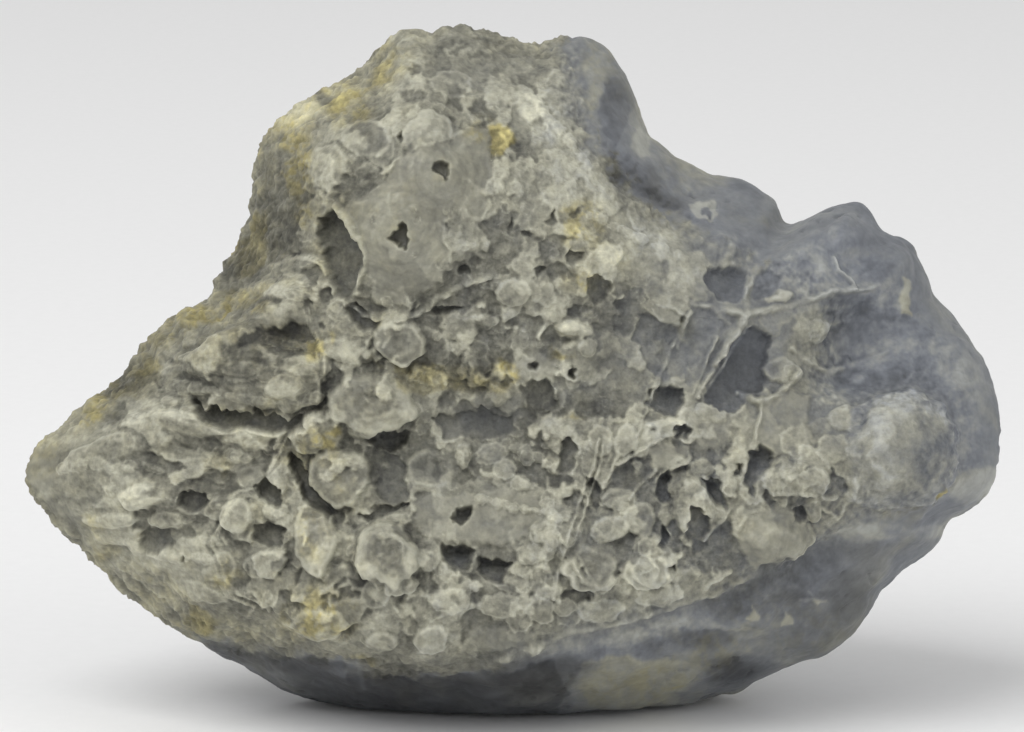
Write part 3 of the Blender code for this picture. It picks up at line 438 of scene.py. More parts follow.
# Places of another colour with a clear edge: how soft, lift, tone, warmth, and the outline of each
TINTS = table(
    Tint,
    (0.15, 0.2, 0.09, 0, ((-15.2, -17.7), (-15.5, -19.6), (-14.7, -21.2), (-13.2, -22.2), (-11.6, -22.6),
        (-10.3, -21.8), (-9.9, -20.4), (-10.8, -21), (-12, -21.4), (-13.4, -20.8), (-14.3, -19.4),
        (-14.3, -17.9), (-14, -16.8), (-14.6, -16.8))),
    (0.3, 0, -0.06, -0.05, ((-13.6, -16.5), (-12, -16.1), (-10.4, -16.6), (-10.1, -18.4), (-10.8, -19.4),
        (-12.2, -18.6), (-13.6, -18.4))),
    *((0.05, -0.1, -0.13, -0.05, speck) for speck in SPECKS),
    (0.3, 0.2, 0.05, 0.6, ((-2.4, 23.8), (-1.2, 24), (0, 23.4), (0.2, 22.4), (-0.6, 21.8), (-0.8, 21),
        (-1.5, 21.4), (-2, 22.4))),
    (0.5, 0, 0, 0.06, ((4.4, 15.8), (6.8, 16.2), (9.2, 15.2), (10.8, 13.6), (9.8, 12), (7.4, 12.2),
        (5.4, 13.4))),
    (0.4, 0, -0.05, 0.12, ((4.8, 9.4), (6.8, 9.8), (8.8, 9.2), (8.6, 7.6), (6.3, 7.2), (4.8, 8))),
    (0.05, 0, 0.13, 0.03, ((-18.8, -30.1), (-18, -29.9), (-16.6, -30.6), (-16.7, -31), (-17.8, -30.6))),
    (0.05, 0, 0.09, 0.02, ((-15.7, -29.8), (-15.3, -29.8), (-14.4, -32.4), (-14.8, -32.6))),
    (0.1, 0, 0.08, 0.05, ((-4.2, -32.4), (-2, -31.8), (1.2, -31.4), (1.2, -31.9), (-1.8, -32.6),
        (-3.8, -33))),
    # The band along the bottom is darker and bluer: partly the bare stone's own blue-grey, partly painted
    # shade on the underside
    (0.12, -0.25, -0.205, -0.3, ((-33.6, -26.8), (-27, -28.4), (-19.8, -29), (-14.5, -30.6), (-10.4, -31.6),
        (-6.4, -31.1), (1.6, -29.8), (4.4, -29.4), (5.4, -32.4), (4, -35.9), (-21.2, -35.9),
        (-33.2, -32.4))),
    (0.25, 0.2, 0.14, 0, ((32, -16.8), (35.8, -15.7), (37.8, -15.5), (39.8, -16.1), (42.8, -15.8),
        (43.4, -16.8), (41.8, -17.5), (37.6, -17.1), (35.4, -17.7), (33.4, -17.5))),
    (0.4, 0, -0.06, 0, ((24.6, -19.6), (28.8, -18.6), (32.8, -17.4), (36.8, -18.2), (34.8, -19.6),
        (28.8, -20.8), (24.6, -21.6))),
    (0.08, 0.25, 0.24, 0.16, ((23.3, -25), (23.9, -23.7), (24.5, -24.6), (24.6, -25.1))),
    (0.08, 0.3, 0.26, 0.2, ((27, -26.2), (27.4, -25.2), (27.5, -24.3), (28.4, -25.4), (28.3, -26.1))),
    (0.06, 0.1, 0.2, 0.05, ((28.8, -23.1), (30, -23.2), (31.6, -23.4), (31.6, -23.7), (30, -23.6),
        (28.8, -23.5))),
    (0.06, 0.1, 0.16, 0.05, ((29.4, -22.1), (30, -22.8), (30.6, -23.5), (30.4, -23.8), (29.6, -23),
        (29.1, -22.3))),
    (0.2, 0, 0.1, 0.08, ((21.4, -26.4), (23.2, -26), (25.2, -26.6), (24.4, -27.4), (22.4, -27.4))),
    (0.2, 0.1, 0.05, 0.1, ((21, -28.2), (24.8, -27.8), (28.8, -28.2), (30, -28.6), (27.8, -29.4),
        (23.8, -29), (21, -29.2))),
    (0.06, 0, 0, 0.9, ((41.7, -11.5), (42.4, -11.4), (42.7, -12.2), (42.2, -12.9), (41.6, -12.4))),
    (0.35, 0.8, -0.015, -0.08, ((33.4, -5.4), (34.8, -4), (37, -3.2), (39.9, -2.8), (42.3, -4.6),
        (43.5, -6.4), (43.8, -9.2), (42.9, -12), (41.4, -13.4), (39.3, -14.2), (36.4, -14.4),
        (33.8, -13.4))),
    (0.3, 0, 0.1, 0.05, ((7.4, 30.6), (8.6, 31.4), (9.2, 30), (8.8, 27), (9.4, 24.2), (8.4, 23.8),
        (7.6, 26.6))),
    (0.15, 0.3, 0.14, 0.05, ((11.6, 21.6), (12.4, 23.8), (13.6, 22.6), (14, 21), (12.8, 20.6))),
    (0.3, 0, 0.1, 0.05, ((16.4, 19.4), (17.4, 19.8), (18, 18.2), (17.4, 17), (16.8, 18.2))),
    (0.3, 0, -0.08, 0, ((21.8, 18.8), (24.8, 19), (26.3, 17.8), (24.8, 16.6), (22.6, 16.8))),
    (0.12, -0.35, -0.14, -0.05, ((9.4, 28.7), (12, 28.6), (12.3, 27.1), (11.6, 24.4), (10.2, 22.1),
        (8.8, 23.6), (8.6, 26.9))),
    (0.3, -0.3, -0.07, 0.08, ((1.8, -1.6), (3.8, -1.8), (4.7, -3.2), (4.1, -4.9), (2.3, -5.3),
        (0.9, -4.2))),
    (0.25, 0, -0.05, 0.16, ((-11.7, 0), (-8.2, 0.4), (-4.2, 0), (0.2, 0.4), (0.6, -1.4), (-1.2, -2.7),
        (-5.2, -2.4), (-9.2, -2.9), (-11.4, -2))),
    (0.12, 0.5, 0.1, 0.24, ((7, -29), (9.6, -28.6), (12.9, -29.3), (16.3, -29.3), (19.1, -29.8),
        (19.4, -31), (18.2, -32.1), (15.8, -33.7), (11.5, -34), (7.5, -34.3), (4.4, -34), (5.4, -32))),
    (0.2, 0, -0.03, 0.3, ((19.6, -29.6), (22.8, -29), (26.5, -29.3), (25.8, -30.6), (22.8, -31.7),
        (20, -32.4), (19.3, -31))),
    (0.3, -0.2, -0.1, 0, ((15.3, -27.4), (17.8, -26.6), (20.8, -26.4), (23, -26.8), (21.8, -27.6),
        (18.8, -28.2), (16.3, -28.2))),
    (0.12, 0.3, 0.2, 0.2, ((38.8, 8.7), (39.6, 8.5), (40, 6.6), (40, 4.8), (39.2, 5.2))),
    (0.3, 0.2, 0.16, 0.06, ((43.2, -11), (46.3, -10.2), (49.8, -10.4), (49.6, -12.8), (45.8, -13.4),
        (43.6, -13.1))),
    (0.12, 0.55, 0.28, 0.45, ((17.7, 16.2), (19, 16.8), (20.5, 16.5), (20.8, 15.5), (19.8, 14.6),
        (18.3, 14.9))),
    (0.12, -0.3, -0.4, -0.3, ((19, 15.8), (19.8, 16), (20.2, 15.5), (19.8, 15), (19.1, 15.2))),
    (0.12, 0.45, 0.3, 0.06, ((25.6, 7), (26.6, 7.6), (27.9, 6.9), (27.2, 6.2), (25.9, 6.3))),
    (0.12, 0.6, 0.24, 0.1, ((4.5, 4), (6, 4.7), (7.9, 4.5), (8.1, 3.5), (6.6, 2.7), (4.9, 2.9))),
    (0.2, 0.1, 0.1, 0, ((8.8, -27), (11.6, -26.4), (14.2, -25.6), (18.8, -25.6), (23.2, -25.8), (23, -26.5),
        (18.8, -26.4), (14.4, -26.8), (10.8, -27.6), (9, -27.6))),
    (0.2, 0, -0.14, 0, ((-31.6, -26.8), (-27, -28.4), (-19.8, -29), (-18.2, -29.6), (-21.2, -30.4),
        (-25, -30.2), (-29, -28.8))),
)

# Lighter and darker areas, mostly the stone's own tone; some darker ones are painted shade, in the gap under
# the left ledge, in hollows and along the underside at the bottom
TONES = table(
    Stain,
    (-24, 18.6, 2.4, 4, -0.11), (-25, 11.6, 3, 5, -0.15, 10), (-22, 11.4, 1.8, 3.6, -0.18),
    (-27.7, 8.6, 2.4, 2.4, -0.12, -30), (-38.2, -1.2, 2.4, 1.4, -0.14, 40),
    (-39.2, -20.6, 5, 2.2, 0.26, 35), (-42.2, -18.2, 3, 1.4, 0.12, 40), (-35.2, -23.8, 4.4, 1.4, 0.14, 30),
    (-21.2, 25.8, 3.2, 2, 0.13, 30), (-16.7, 27.4, 2, 1.4, 0.14), (-18.7, 26.8, 0.9, 0.6, -0.3),
    (-29.7, 5.1, 2.2, 1, 0.09, 20), (-42.2, -4.9, 2, 1, 0.08, 30), (-46.2, -8.1, 2, 1.4, -0.1),
    (-14.2, 29.6, 1.2, 1, -0.06), (-8, -10.2, 2.6, 1.7, -0.08), (-4.2, -5.8, 4.4, 1.8, -0.06),
    (-2.7, 32.8, 4.8, 1.2, -0.08, 8), (9.3, 30, 2.6, 3, 0.03), (44.8, 3.6, 4, 11, 0.01),
    (17.8, -27, 7, 1.4, -0.03), (-27.2, 1.4, 6.2, 2.8, -0.1), (-32.2, -19.6, 6.6, 3.6, 0.09, 20),
    (12.8, -23.4, 7, 3, -0.03), (-3.2, -26.2, 7, 2.2, -0.03), (-19.2, -24.6, 3.4, 2.6, 0.02),
    (17.8, -27.4, 6, 1.2, -0.06), (12.8, -31.6, 5, 1.4, -0.03), (8.8, 30.4, 2.6, 3, 0.03),
    (45, -1.4, 3, 7, 0.02), (22.8, -10.4, 6, 5, 0.02), (18.8, -32.4, 12, 2, 0.03),
    (-11.2, 32.8, 4, 1.4, 0.25), (-11.7, 28.1, 2.2, 2.8, 0.1), (-21.2, 25.1, 2.8, 1.4, 0.3, 20),
    (2.8, 24.6, 3.8, 2.6, 0.28, -40), (6.3, 19.4, 5.2, 2.2, 0.16, -55), (12.8, 13.1, 4.2, 2.2, 0.2, -20),
    (10.3, 10.1, 3.4, 1.6, 0.18), (16, 8.6, 3, 1.6, 0.1), (-10.2, 17.1, 3.2, 1.8, 0.08, 20),
    (-23.7, 7.5, 3.4, 1, 0.18), (1.8, 2.8, 2, 2.6, 0.14, -20), (4, -1, 2.4, 1.4, 0.14, -30),
    (-16.7, 1.1, 1.8, 1, 0.1), (-44, -7.4, 4.4, 1.6, 0.22, 12), (-39.7, -17.9, 3.2, 1.4, 0.1, -20),
    (-38, -12.9, 2, 0.9, 0.12), (-27.7, -15.4, 1.2, 1.8, 0.16), (-13.4, -19.6, 2.2, 2.2, -0.05),
    (-19.7, -17.9, 1.6, 3, 0.1), (13.8, -6.6, 3.6, 1.6, 0.18), (22.8, -6.9, 1.4, 2.2, 0.14),
    (37.3, -8.4, 2.4, 4.6, 0.22), (28.8, -12.4, 3.6, 1.6, 0.16, -10), (12.8, -22.4, 4.2, 2, 0.18, 25),
    (7.8, -16.4, 3.8, 2.4, 0.12, -20), (14.8, -19.4, 2.6, 1.8, 0.15), (-8.2, -25.4, 5, 2.2, 0.06),
    (48, -11.4, 1.6, 2.8, 0.08), (46.3, 0.6, 1.6, 5, 0.06, -20), (-22.2, 15.1, 3.4, 4.2, -0.15),
    (-17.7, 13.1, 1.8, 5.6, -0.1, -6), (-27.2, 10.1, 1, 1.8, -0.12, -20), (-23.7, 20.1, 1, 1.4, -0.1),
    (-14.7, 3.8, 1.8, 1.8, -0.15), (-22.2, 4.1, 2, 1.4, -0.15), (-20.2, -2.4, 2.6, 1.8, -0.18, 30),
    (-27.2, -4.6, 5.6, 1.2, -0.16, 5), (-37.2, -2.4, 2.8, 1.6, -0.1, 20), (8.8, 5.6, 3.4, 2.6, -0.2, -40),
    (8.8, 1.4, 2.6, 2, -0.12), (-3.2, -0.9, 2.8, 2.4, -0.16, -40), (-1.2, -4.6, 6.2, 2.4, -0.14, 5),
    (-12.2, -7.6, 2.4, 1.6, -0.16), (-12.2, -12.4, 1.8, 4.4, -0.15), (8.3, -4.9, 2, 2, -0.12),
    (2.8, -3.4, 1.8, 1.8, -0.14), (-20.2, -12.4, 2.6, 2.2, -0.12, -40), (-31.7, -12.9, 1.8, 2, -0.12),
    (-35.7, -16.9, 1.6, 1, -0.1), (-23.7, -16.9, 1.4, 1.2, -0.1), (-45.2, -13.9, 1.4, 1, -0.12),
    (-3.2, -19.6, 5.4, 1.8, -0.14, -10), (-5.2, -14.9, 1.6, 1.2, -0.08), (22.3, -0.9, 3.6, 3.4, -0.2),
    (15.8, -3, 1.8, 1.4, -0.12), (21.8, 8.4, 1.8, 1.6, -0.1), (34.8, 4.6, 2.2, 2.4, -0.14),
    (36, -0.4, 5.2, 2.4, -0.12), (18.8, 2.6, 3, 4, -0.06), (10.3, 25.6, 1.4, 3.6, -0.06, 10),
    (12.8, 18.6, 3.2, 1.4, -0.16, -40), (24.3, 15.1, 3.2, 1.4, -0.07, -25),
    (24.8, -8.1, 2, 3.2, -0.12, -40), (12.8, -11.4, 2.4, 1.4, -0.08), (-6, 27.1, 2.6, 4.2, -0.06),
    (-1.2, 30.8, 3, 0.9, -0.08), (-9.2, -32.4, 15, 2.2, -0.24, -2), (-26.2, -26, 7, 1, 0.1, 12),
    (-8.2, -28.6, 6, 0.9, 0.1), (-21.2, -29.6, 6, 1.4, -0.12, -18), (2.8, -30.6, 5, 1.8, -0.34, 5),
    (26.8, -21.9, 6, 2.6, -0.18, 15), (33.8, -22.4, 2.8, 2.4, -0.2, 30), (22, -30.4, 3, 1.4, -0.3),
    (17.8, -27.4, 8, 1, -0.04, 8), (12.3, -31.4, 6.6, 2.2, -0.02, 6), (36.8, -17.9, 4, 1.8, -0.12, 20),
    (30.8, -26.4, 5, 2, -0.12, 30), (15, 16.8, 2.6, 1, -0.26, -20), (10, 19.8, 1, 2.2, -0.2, 30),
    (43.2, -7.4, 1.4, 4, -0.1), (33.3, 6.6, 1.6, 1, -0.12), (13.8, -26.6, 7, 0.8, 0.1, 10),
    (17.8, 20.2, 2.2, 0.8, 0.06, -25), (39.3, 6.8, 0.5, 2, 0.12), (35.6, 1.2, 3, 0.6, 0.14, -15),
    (36.4, -16.8, 3.6, 0.6, 0.12, -14), (44.3, -5.4, 3.6, 9, 0.05), (-8.7, -10.2, 6, 2.6, -0.05),
    (5.8, -8.9, 4.6, 2.6, -0.06), (-16.7, 6.6, 7, 2.6, -0.05), (-1.2, 23, 1.1, 0.8, 0.26),
    (-29.2, 9.8, 1.8, 3.6, -0.18, 20), (-22.2, 9.6, 3, 2, 0.14), (-27.2, 7.4, 4, 1, 0.1, -25),
    (-31.2, 3.6, 5, 1, 0.06), (-26.2, -2.6, 5, 0.8, 0.06, 5), (-32.7, -5.8, 7, 0.7, 0.1),
    (-39.2, -8.9, 5, 1.2, 0.06, 10), (-36.2, -12.4, 3, 1, 0.12, 5), (-40.7, -14.9, 2.4, 0.8, 0.1),
    (-42.7, -11.9, 4, 0.8, -0.08), (-31.2, -9.9, 3, 1, -0.1, 10), (-28.7, -8.9, 1.4, 3, -0.06, 10),
    (-35.2, -15.4, 3, 0.6, 0.1), (-39.2, -21.4, 5, 1.2, -0.05, 35), (-21.2, 3.8, 2, 1.4, -0.1),
    (-27, 0.8, 1.4, 0.8, -0.1), (0.2, 21.2, 1, 0.8, -0.14), (-0.9, -0.5, 0.9, 0.9, 0.34),
    (-17.2, 11.6, 2.2, 5, -0.16, -6), (-4.2, -23.4, 6, 2, 0.05), (19.1, 2.1, 1.4, 4, -0.06, 15),
    (-28.2, -1.4, 6, 1.2, -0.06, 5), (6.6, 14.8, 3.2, 2.4, 0.16), (11.3, 11.1, 3.6, 2.6, 0.12),
    (-25, 5.4, 2.4, 1.4, -0.14), (39.3, -8.9, 3.6, 3.8, -0.12), (-24.2, 2.6, 5.6, 2.4, -0.1),
    (26.8, -23.4, 6, 2.6, -0.08), (-4.2, -29, 5, 1.2, -0.16), (-8.7, 14.6, 4.6, 6, -0.05),
    (-13.4, -19, 2.6, 2.6, -0.1), (16.8, 3.6, 3, 3, 0.1), (13.8, 24.6, 1.4, 4, 0.06, -30),
    (22.3, -30.4, 4, 1.6, -0.06),
)

# Yellowed areas
WARM = table(
    Stain,
    (-24.4, 20.1, 1.8, 3.4, 0.25), (-21.2, 18.6, 1.2, 3, 0.35), (-25, 15.1, 2, 3, 0.15),
    (-29.7, 5.2, 2.6, 1, 0.35, 15), (-34.7, 2.8, 3, 1.2, 0.2, 30), (-38.2, -0.9, 2.4, 1.4, 0.25, 40),
    (-40.2, -3.1, 2.4, 1.2, 0.25, 35), (9.3, 30, 3, 3.6, 0.14), (27.8, -25.6, 10, 4, 0.12, -20),
    (16.8, 18.6, 5, 3, 0.08, 30), (-11.7, 30.6, 2.6, 2.2, 0.35, 30), (-16.2, 26.1, 2.4, 2, 0.7, 40),
    (-21.5, 20.1, 1.8, 4.2, 0.85), (-20.8, 16.1, 1.3, 2.8, 0.7), (-22.2, 24.1, 2.6, 1.4, 0.7, 20),
    (-1.2, 22.4, 1.3, 1.3, 1), (-2.7, 23.2, 2, 1.4, 0.5), (-1.2, 23.1, 1, 0.8, 1),
    (-30.2, 5.4, 4, 1, 1, 15), (-27.2, 6.6, 4.2, 1.2, 0.5, 20), (-34.2, 3.1, 4.2, 1.4, 0.5, 30),
    (-36.7, -0.4, 3.2, 1.4, 0.5, 30), (-41.7, -4.6, 2.6, 1.4, 0.8, 30), (-46.7, -9.4, 2.6, 2, 0.3),
    (-20, 1.8, 1.6, 1.4, 0.85), (-22.2, 2.1, 2.4, 1.4, 0.35), (-18.2, -7.1, 1.6, 1.5, 1),
    (-20, -8.6, 3.2, 2.6, 0.4), (-16.7, -11.4, 1.4, 1.6, 0.35), (-17.2, 12.6, 2.6, 4.4, 0.3),
    (-26.2, -4.6, 5, 1.4, 0.3, 5), (-7.1, 19.5, 1, 0.9, 0.22), (-11, 13, 1, 1.4, 0.22),
    (-27.2, 1.6, 6, 2.8, 0.22), (-14, -2.6, 3.6, 2.6, 0.1), (17.8, -27.4, 6, 1.2, 0.12),
    (-19.7, -16.9, 2, 3.2, 0.35), (-19.2, -24.6, 3.8, 2.7, 0.75), (-28.7, -20.9, 2.2, 1.6, 0.45),
    (-41.2, -15.4, 1.4, 0.9, 0.35), (-29, -10.2, 1.4, 1.6, 0.3), (-13.2, 0.4, 1.2, 0.8, 0.3),
    (-9.2, -0.9, 3.4, 1.6, 0.35), (-0.7, -0.4, 1.1, 1.8, 0.75, 20), (6.8, 14.1, 2.8, 2.4, 0.6),
    (7.3, 8.6, 1.4, 0.9, 0.55), (-11.2, 16.6, 3.4, 2.2, 0.12), (8.8, 10.4, 5.2, 3, 0.22),
    (12.3, -31.6, 6.6, 2.2, 0.5, 6), (20.3, -28.9, 3.4, 1.8, 0.35, 10), (16.3, -32.3, 0.8, 0.5, 0.7),
    (41.9, -11.9, 0.7, 0.6, 0.8), (22.8, -16.4, 1.6, 1.6, 0.2), (22.5, -7.4, 1.4, 2.4, 0.2),
    (5.1, 1.2, 1.4, 0.6, 0.6, -30), (7.8, 8.9, 1.4, 0.7, 0.5), (6.3, -5.2, 1.6, 0.7, 0.5),
    (-24.7, 5, 2.2, 1, 0.5, 20), (-18.4, 2.8, 1, 1, 0.6), (-13.6, 4.6, 1, 0.6, 0.35),
    (22.8, 11.6, 2, 0.8, -0.1), (-3.2, -1.9, 4, 1.6, 0.3),
)

# Where the crust is low and hazy
CALM = table(
    Stain,
    (4.8, 20.1, 8.4, 6, 0.55, 50), (22.3, 2.6, 10, 9, 0.8), (28.8, 7.6, 8, 4.5, 0.85, 15),
    (39.3, -8.4, 7, 8, 0.9), (32.3, -6.4, 5, 6, 0.6), (9.8, 17.6, 8, 6, 0.5, 40), (-7.2, 28.1, 7, 5, 0.4),
    (1.3, 13.6, 7, 7, 0.3), (-3.2, -14.9, 8, 4.2, 0.7), (-11.2, -27.6, 17, 2.8, 0.5, 5),
    (-33.7, -22.4, 7, 3.6, 0.7, 35), (26.3, -17.4, 6, 4, 0.5), (-7.2, -5.9, 11, 4, 0.45),
    (11.3, -0.4, 7.5, 6, 0.55), (17.8, 11.6, 6, 4, 0.6, 20), (-45.2, -9.4, 4.4, 6, 0.7),
    (4.8, -25.4, 9, 2.6, 0.4, -10),
)

# Where the crust is thin over bare stone
HAZE = table(
    Stain,
    (22.3, 3.1, 8.5, 8, 0.85), (28.8, 8.1, 7, 4, 0.85, 15), (32.3, -3.4, 4, 6, 0.6),
    (18.8, 12.1, 6, 3.6, 0.6, 20), (8, 29.6, 2.6, 5.6, 0.5), (-1.2, 29.4, 6, 2.2, 0.35),
    (-1.2, -4.8, 6, 2.4, 0.55, 5), (11.3, 2.1, 5.6, 5, 0.35), (39.3, -8.9, 4.6, 4.6, 0.25),
    (-8.2, -10.4, 3, 2.4, 0.4), (-12.2, -12.4, 2, 4, 0.4),
)

# The slabs that the crust of the face is made in, as closed outlines
SLABS = {
    "crust_left": ((-60, -45), (-60, 11), (-30, 11), (-22, 3.5), (-20.5, -4.6), (-13, -7.4), (-12, -14),
                   (-8, -16), (-8.5, -22), (-9, -45)),
    "crust_top": ((-60, 11), (-60, 50), (60, 50), (60, 13), (32, 7), (14, 4), (2, 6), (-6, 5), (-13, 3.4),
                  (-20.5, -4.6), (-22, 3.5), (-30, 11)),
    "crust_middle": ((-13, 3.4), (-6, 5), (2, 6), (14, 4), (16, -4), (13, -14), (15.5, -20), (15, -45),
                     (-9, -45), (-8.5, -22), (-8, -16), (-12, -14), (-13, -7.4), (-20.5, -4.6)),
    "crust_right": ((14, 4), (32, 7), (60, 13), (60, -45), (15, -45), (15.5, -20), (13, -14), (16, -4)),
}

# The longest edges of the body on its rim, on its back and under the slabs, in mm, and how many times
# the long ones are split
RIM_EDGE = 0.4
BACK_EDGE = 1.5
HIDDEN_EDGE = 2.4
SPLITS = 5

# The slabs, in mm: their grain, how far they lap over each other, how far below them the body lies, how far
# they dip at their seams, and how much lower each lies than the one before it
SLAB_STEP = 0.14
SLAB_LAP = 0.9
SLAB_DEPTH = 6.5
SEAM_DIP = 0.7
SLAB_OFFSET = 0.02

# Shares of the way from the hub to the outline: where the rim starts, how far the slabs lap over it, and from
# where inwards the body is fully lowered, and hidden
RIM_FROM = 0.96
RIM_LAP = 0.02
LOWERED_FROM = RIM_FROM - 0.05
HIDDEN_FROM = RIM_FROM - 0.055

# About how far the outline is from the hub, in mm
OUTLINE_REACH = 45

# How far the crust's lumps hang down over what is under them, for each mm that they stand out
DROOP = 0.4

# The maps of the face: their grain and their box, in mm
MAP_STEP = 0.1
MAP_LEFT, MAP_RIGHT, MAP_BOTTOM, MAP_TOP = -51.2, 51.2, -37.0, 36.6
MAP_COLUMNS = round((MAP_RIGHT - MAP_LEFT) / MAP_STEP)
MAP_ROWS = round((MAP_TOP - MAP_BOTTOM) / MAP_STEP)
MAP_MARGIN = 1.5

# The cells after which the noise and the beads repeat
LATTICE = 256
BEAD_LATTICE = 64


def smooth_step(low, high, value):
    """A smooth rise from 0 at low to 1 at high, or a fall where low is the larger."""
    share = np.clip((value - low) / (high - low), 0, 1)
    return share * share * (3 - 2 * share)


def swell(place, size, seed=0):
    """Smooth noise from about -1 to 1, size mm across, at places of two or three coordinates.

    Each use of the noise has its own seed, so that no two lie alike.
    """
    dice = np.random.default_rng(seed)
    order = dice.permutation(LATTICE)
    slopes = dice.normal(size=(len(place), LATTICE)).astype(np.float32)
    slopes /= np.linalg.norm(slopes, axis=0)
    cells = [np.floor(axis / size).astype(int) for axis in place]
    inner = [axis / size - cell for axis, cell in zip(place, cells)]
    eased = [share * share * share * (share * (share * 6 - 15) + 10) for share in inner]
    total = 0
    for corner in product((0, 1), repeat=len(place)):
        mark = 0
        for cell, step in zip(cells, corner):
            mark = order[(mark + cell + step) % LATTICE]
        share, slope = 1, 0
        for axis, step in enumerate(corner):
            share = share * (eased[axis] if step else 1 - eased[axis])
            slope = slope + slopes[axis][mark] * (inner[axis] - step)
        total = total + share * slope
    return 1.5 * total


def swells(place, size, octaves, seed=0, fade=0.5):
    """Smooth noise with finer and fainter noise over it."""
    return sum(swell(place, size / 2**n, seed + n) * fade**n for n in range(octaves))


def pillows(place, size, octaves, seed=0, fade=0.5):
    """Round lumps with sharp creases between them, lumps on lumps, from 0 to about 1."""
    return sum(np.abs(swell(place, size / 2**n, seed + n)) * fade**n for n in range(octaves))


def wobbled(place, steps, seed):
    """Places pushed about by noise: steps are pairs of how far, and over how many mm."""
    return [axis + sum(far * swell(place, size, seed + 10 * turn + n) for n, (far, size) in enumerate(steps))
            for turn, axis in enumerate(place)]


def beads(place, size, seed=0):
    """Small round beads at scattered places, from 0 to 1, with gaps where there are none."""
    dice = np.random.default_rng(seed)
    jitter = dice.random((3, BEAD_LATTICE, BEAD_LATTICE))
    column, row = (np.floor(axis / size).astype(int) for axis in place)
    nearest, wide = np.full(column.shape, 9.0), np.zeros(column.shape)
    for right, above in product((-1, 0, 1), repeat=2):
        at = (row + above) % BEAD_LATTICE, (column + right) % BEAD_LATTICE
        across = column + right + jitter[0][at] - place[0] / size
        up = row + above + jitter[1][at] - place[1] / size
        away = np.hypot(across, up)
        wide = np.where(away < nearest, jitter[2][at], wide)
        nearest = np.minimum(nearest, away)
    return np.sqrt(np.maximum(1 - (nearest / (0.25 + 0.4 * wide)) ** 2, 0))


def evened(field, reach, rounds=2):
    """A map evened out over about reach mm."""
    half = max(1, round(reach / MAP_STEP / 1.5))
    for _ in range(rounds):
        for axis in (0, 1):
            edges = [(half + 1, half) if side == axis else (0, 0) for side in (0, 1)]
            total = np.cumsum(np.pad(field, edges, mode="edge"), axis=axis)
            places = np.arange(field.shape[axis])
            upper = np.take(total, places + 2 * half + 1, axis=axis)
            field = (upper - np.take(total, places, axis=axis)) / (2 * half + 1)
    return field


def window(box, margin=MAP_MARGIN):
    """The part of the maps that holds a box (left, right, bottom, top) and a margin round it."""
    columns = (np.array(box[:2]) + (-margin, margin) - MAP_LEFT) / MAP_STEP
    rows = (np.array(box[2:]) + (-margin, margin) - MAP_BOTTOM) / MAP_STEP
    first, last = np.clip(rows, 0, MAP_ROWS - 2).astype(int)
    left, right = np.clip(columns, 0, MAP_COLUMNS - 2).astype(int)
    return slice(first, last + 2), slice(left, right + 2)


def box_round(patch, reach=1.4):
    """The box of a patch and of what is just round it."""
    size = reach * max(patch.half_width, patch.half_height)
    return patch.across - size, patch.across + size, patch.up - size, patch.up + size


def box_of(points):
    """The box of a line or an outline."""
    across, up = zip(*points)
    return min(across), max(across), min(up), max(up)


def within_patch(patch, place):
    """Places in a patch's own turned frame, where its rim is 1 from its middle."""
    turn = radians(patch.turn)
    right, above = place[0] - patch.across, place[1] - patch.up
    along = (right * cos(turn) + above * sin(turn)) / patch.half_width
    aside = (above * cos(turn) - right * sin(turn)) / patch.half_height
    return along, aside


def patch_distance(patch, place):
    """0 at the patch's middle and 1 on its rim."""
    return np.hypot(*within_patch(patch, place))


def line_distance(line, place):
    """The distance from a line of straight runs, in mm."""
    nearest = np.full(place[0].shape, 1e9)
    for start, end in zip(line, line[1:]):
        run = np.subtract(end, start)
        right, above = place[0] - start[0], place[1] - start[1]
        share = np.clip((right * run[0] + above * run[1]) / (run @ run), 0, 1)
        nearest = np.minimum(nearest, np.hypot(right - share * run[0], above - share * run[1]))
    return nearest


def inside_by(outline, place):
    """How far inside a closed outline each place is, in mm; negative outside it."""
    closed = (*outline, outline[0])
    within = np.zeros(place[0].shape, bool)
    for (x0, y0), (x1, y1) in zip(closed, closed[1:]):
        if y0 != y1:
            crosses = (y0 > place[1]) != (y1 > place[1])
            within ^= crosses & (place[0] < x0 + (x1 - x0) * (place[1] - y0) / (y1 - y0))
    return np.where(within, 1, -1) * line_distance(closed, place)


def cut_out(place, at):
    """The places of one part of the maps."""
    return [axis[at] for axis in place]


def blot(stains, place, add=False):
    """How strongly each place is stained: the strongest stain on it, or all of them added up."""
    amount = np.zeros(place[0].shape)
    for stain in stains:
        at = window(box_round(stain, 1.5))
        spot = stain.strength * smooth_step(1.4, 0.3, patch_distance(stain, cut_out(place, at)))
        amount[at] = amount[at] + spot if add else np.maximum(amount[at], spot)
    return amount


# The lobes of a shell's edge: how many, and how far they reach in and out
LOBES = ((2, 0.08), (3, 0.10), (5, 0.07), (8, 0.05), (13, 0.03))


def shell_distance(shell, near, seed):
    """0 at the shell's middle and 1 on its lobed and ragged edge."""
    along, aside = within_patch(shell, near)
    bearing = np.arctan2(aside, along)
    dice = np.random.default_rng(seed)
    lobes = 0
    for count, size in LOBES:
        lobes = lobes + dice.uniform(-size, size) * np.cos(count * bearing + dice.uniform(0, tau))
    away = np.hypot(along, aside) / (1 + lobes)
    ragged = 0.5 if shell.rings else 1.0
    own = near[0] - shell.across, near[1] - shell.up
    away += 0.12 * ragged * swell(own, 0.7 * shell.half_width**0.5, seed + 3) * smooth_step(0.2, 0.8, away)
    away += 0.05 * ragged * swell(own, 0.35, seed + 4) * smooth_step(0.5, 0.9, away)
    return away


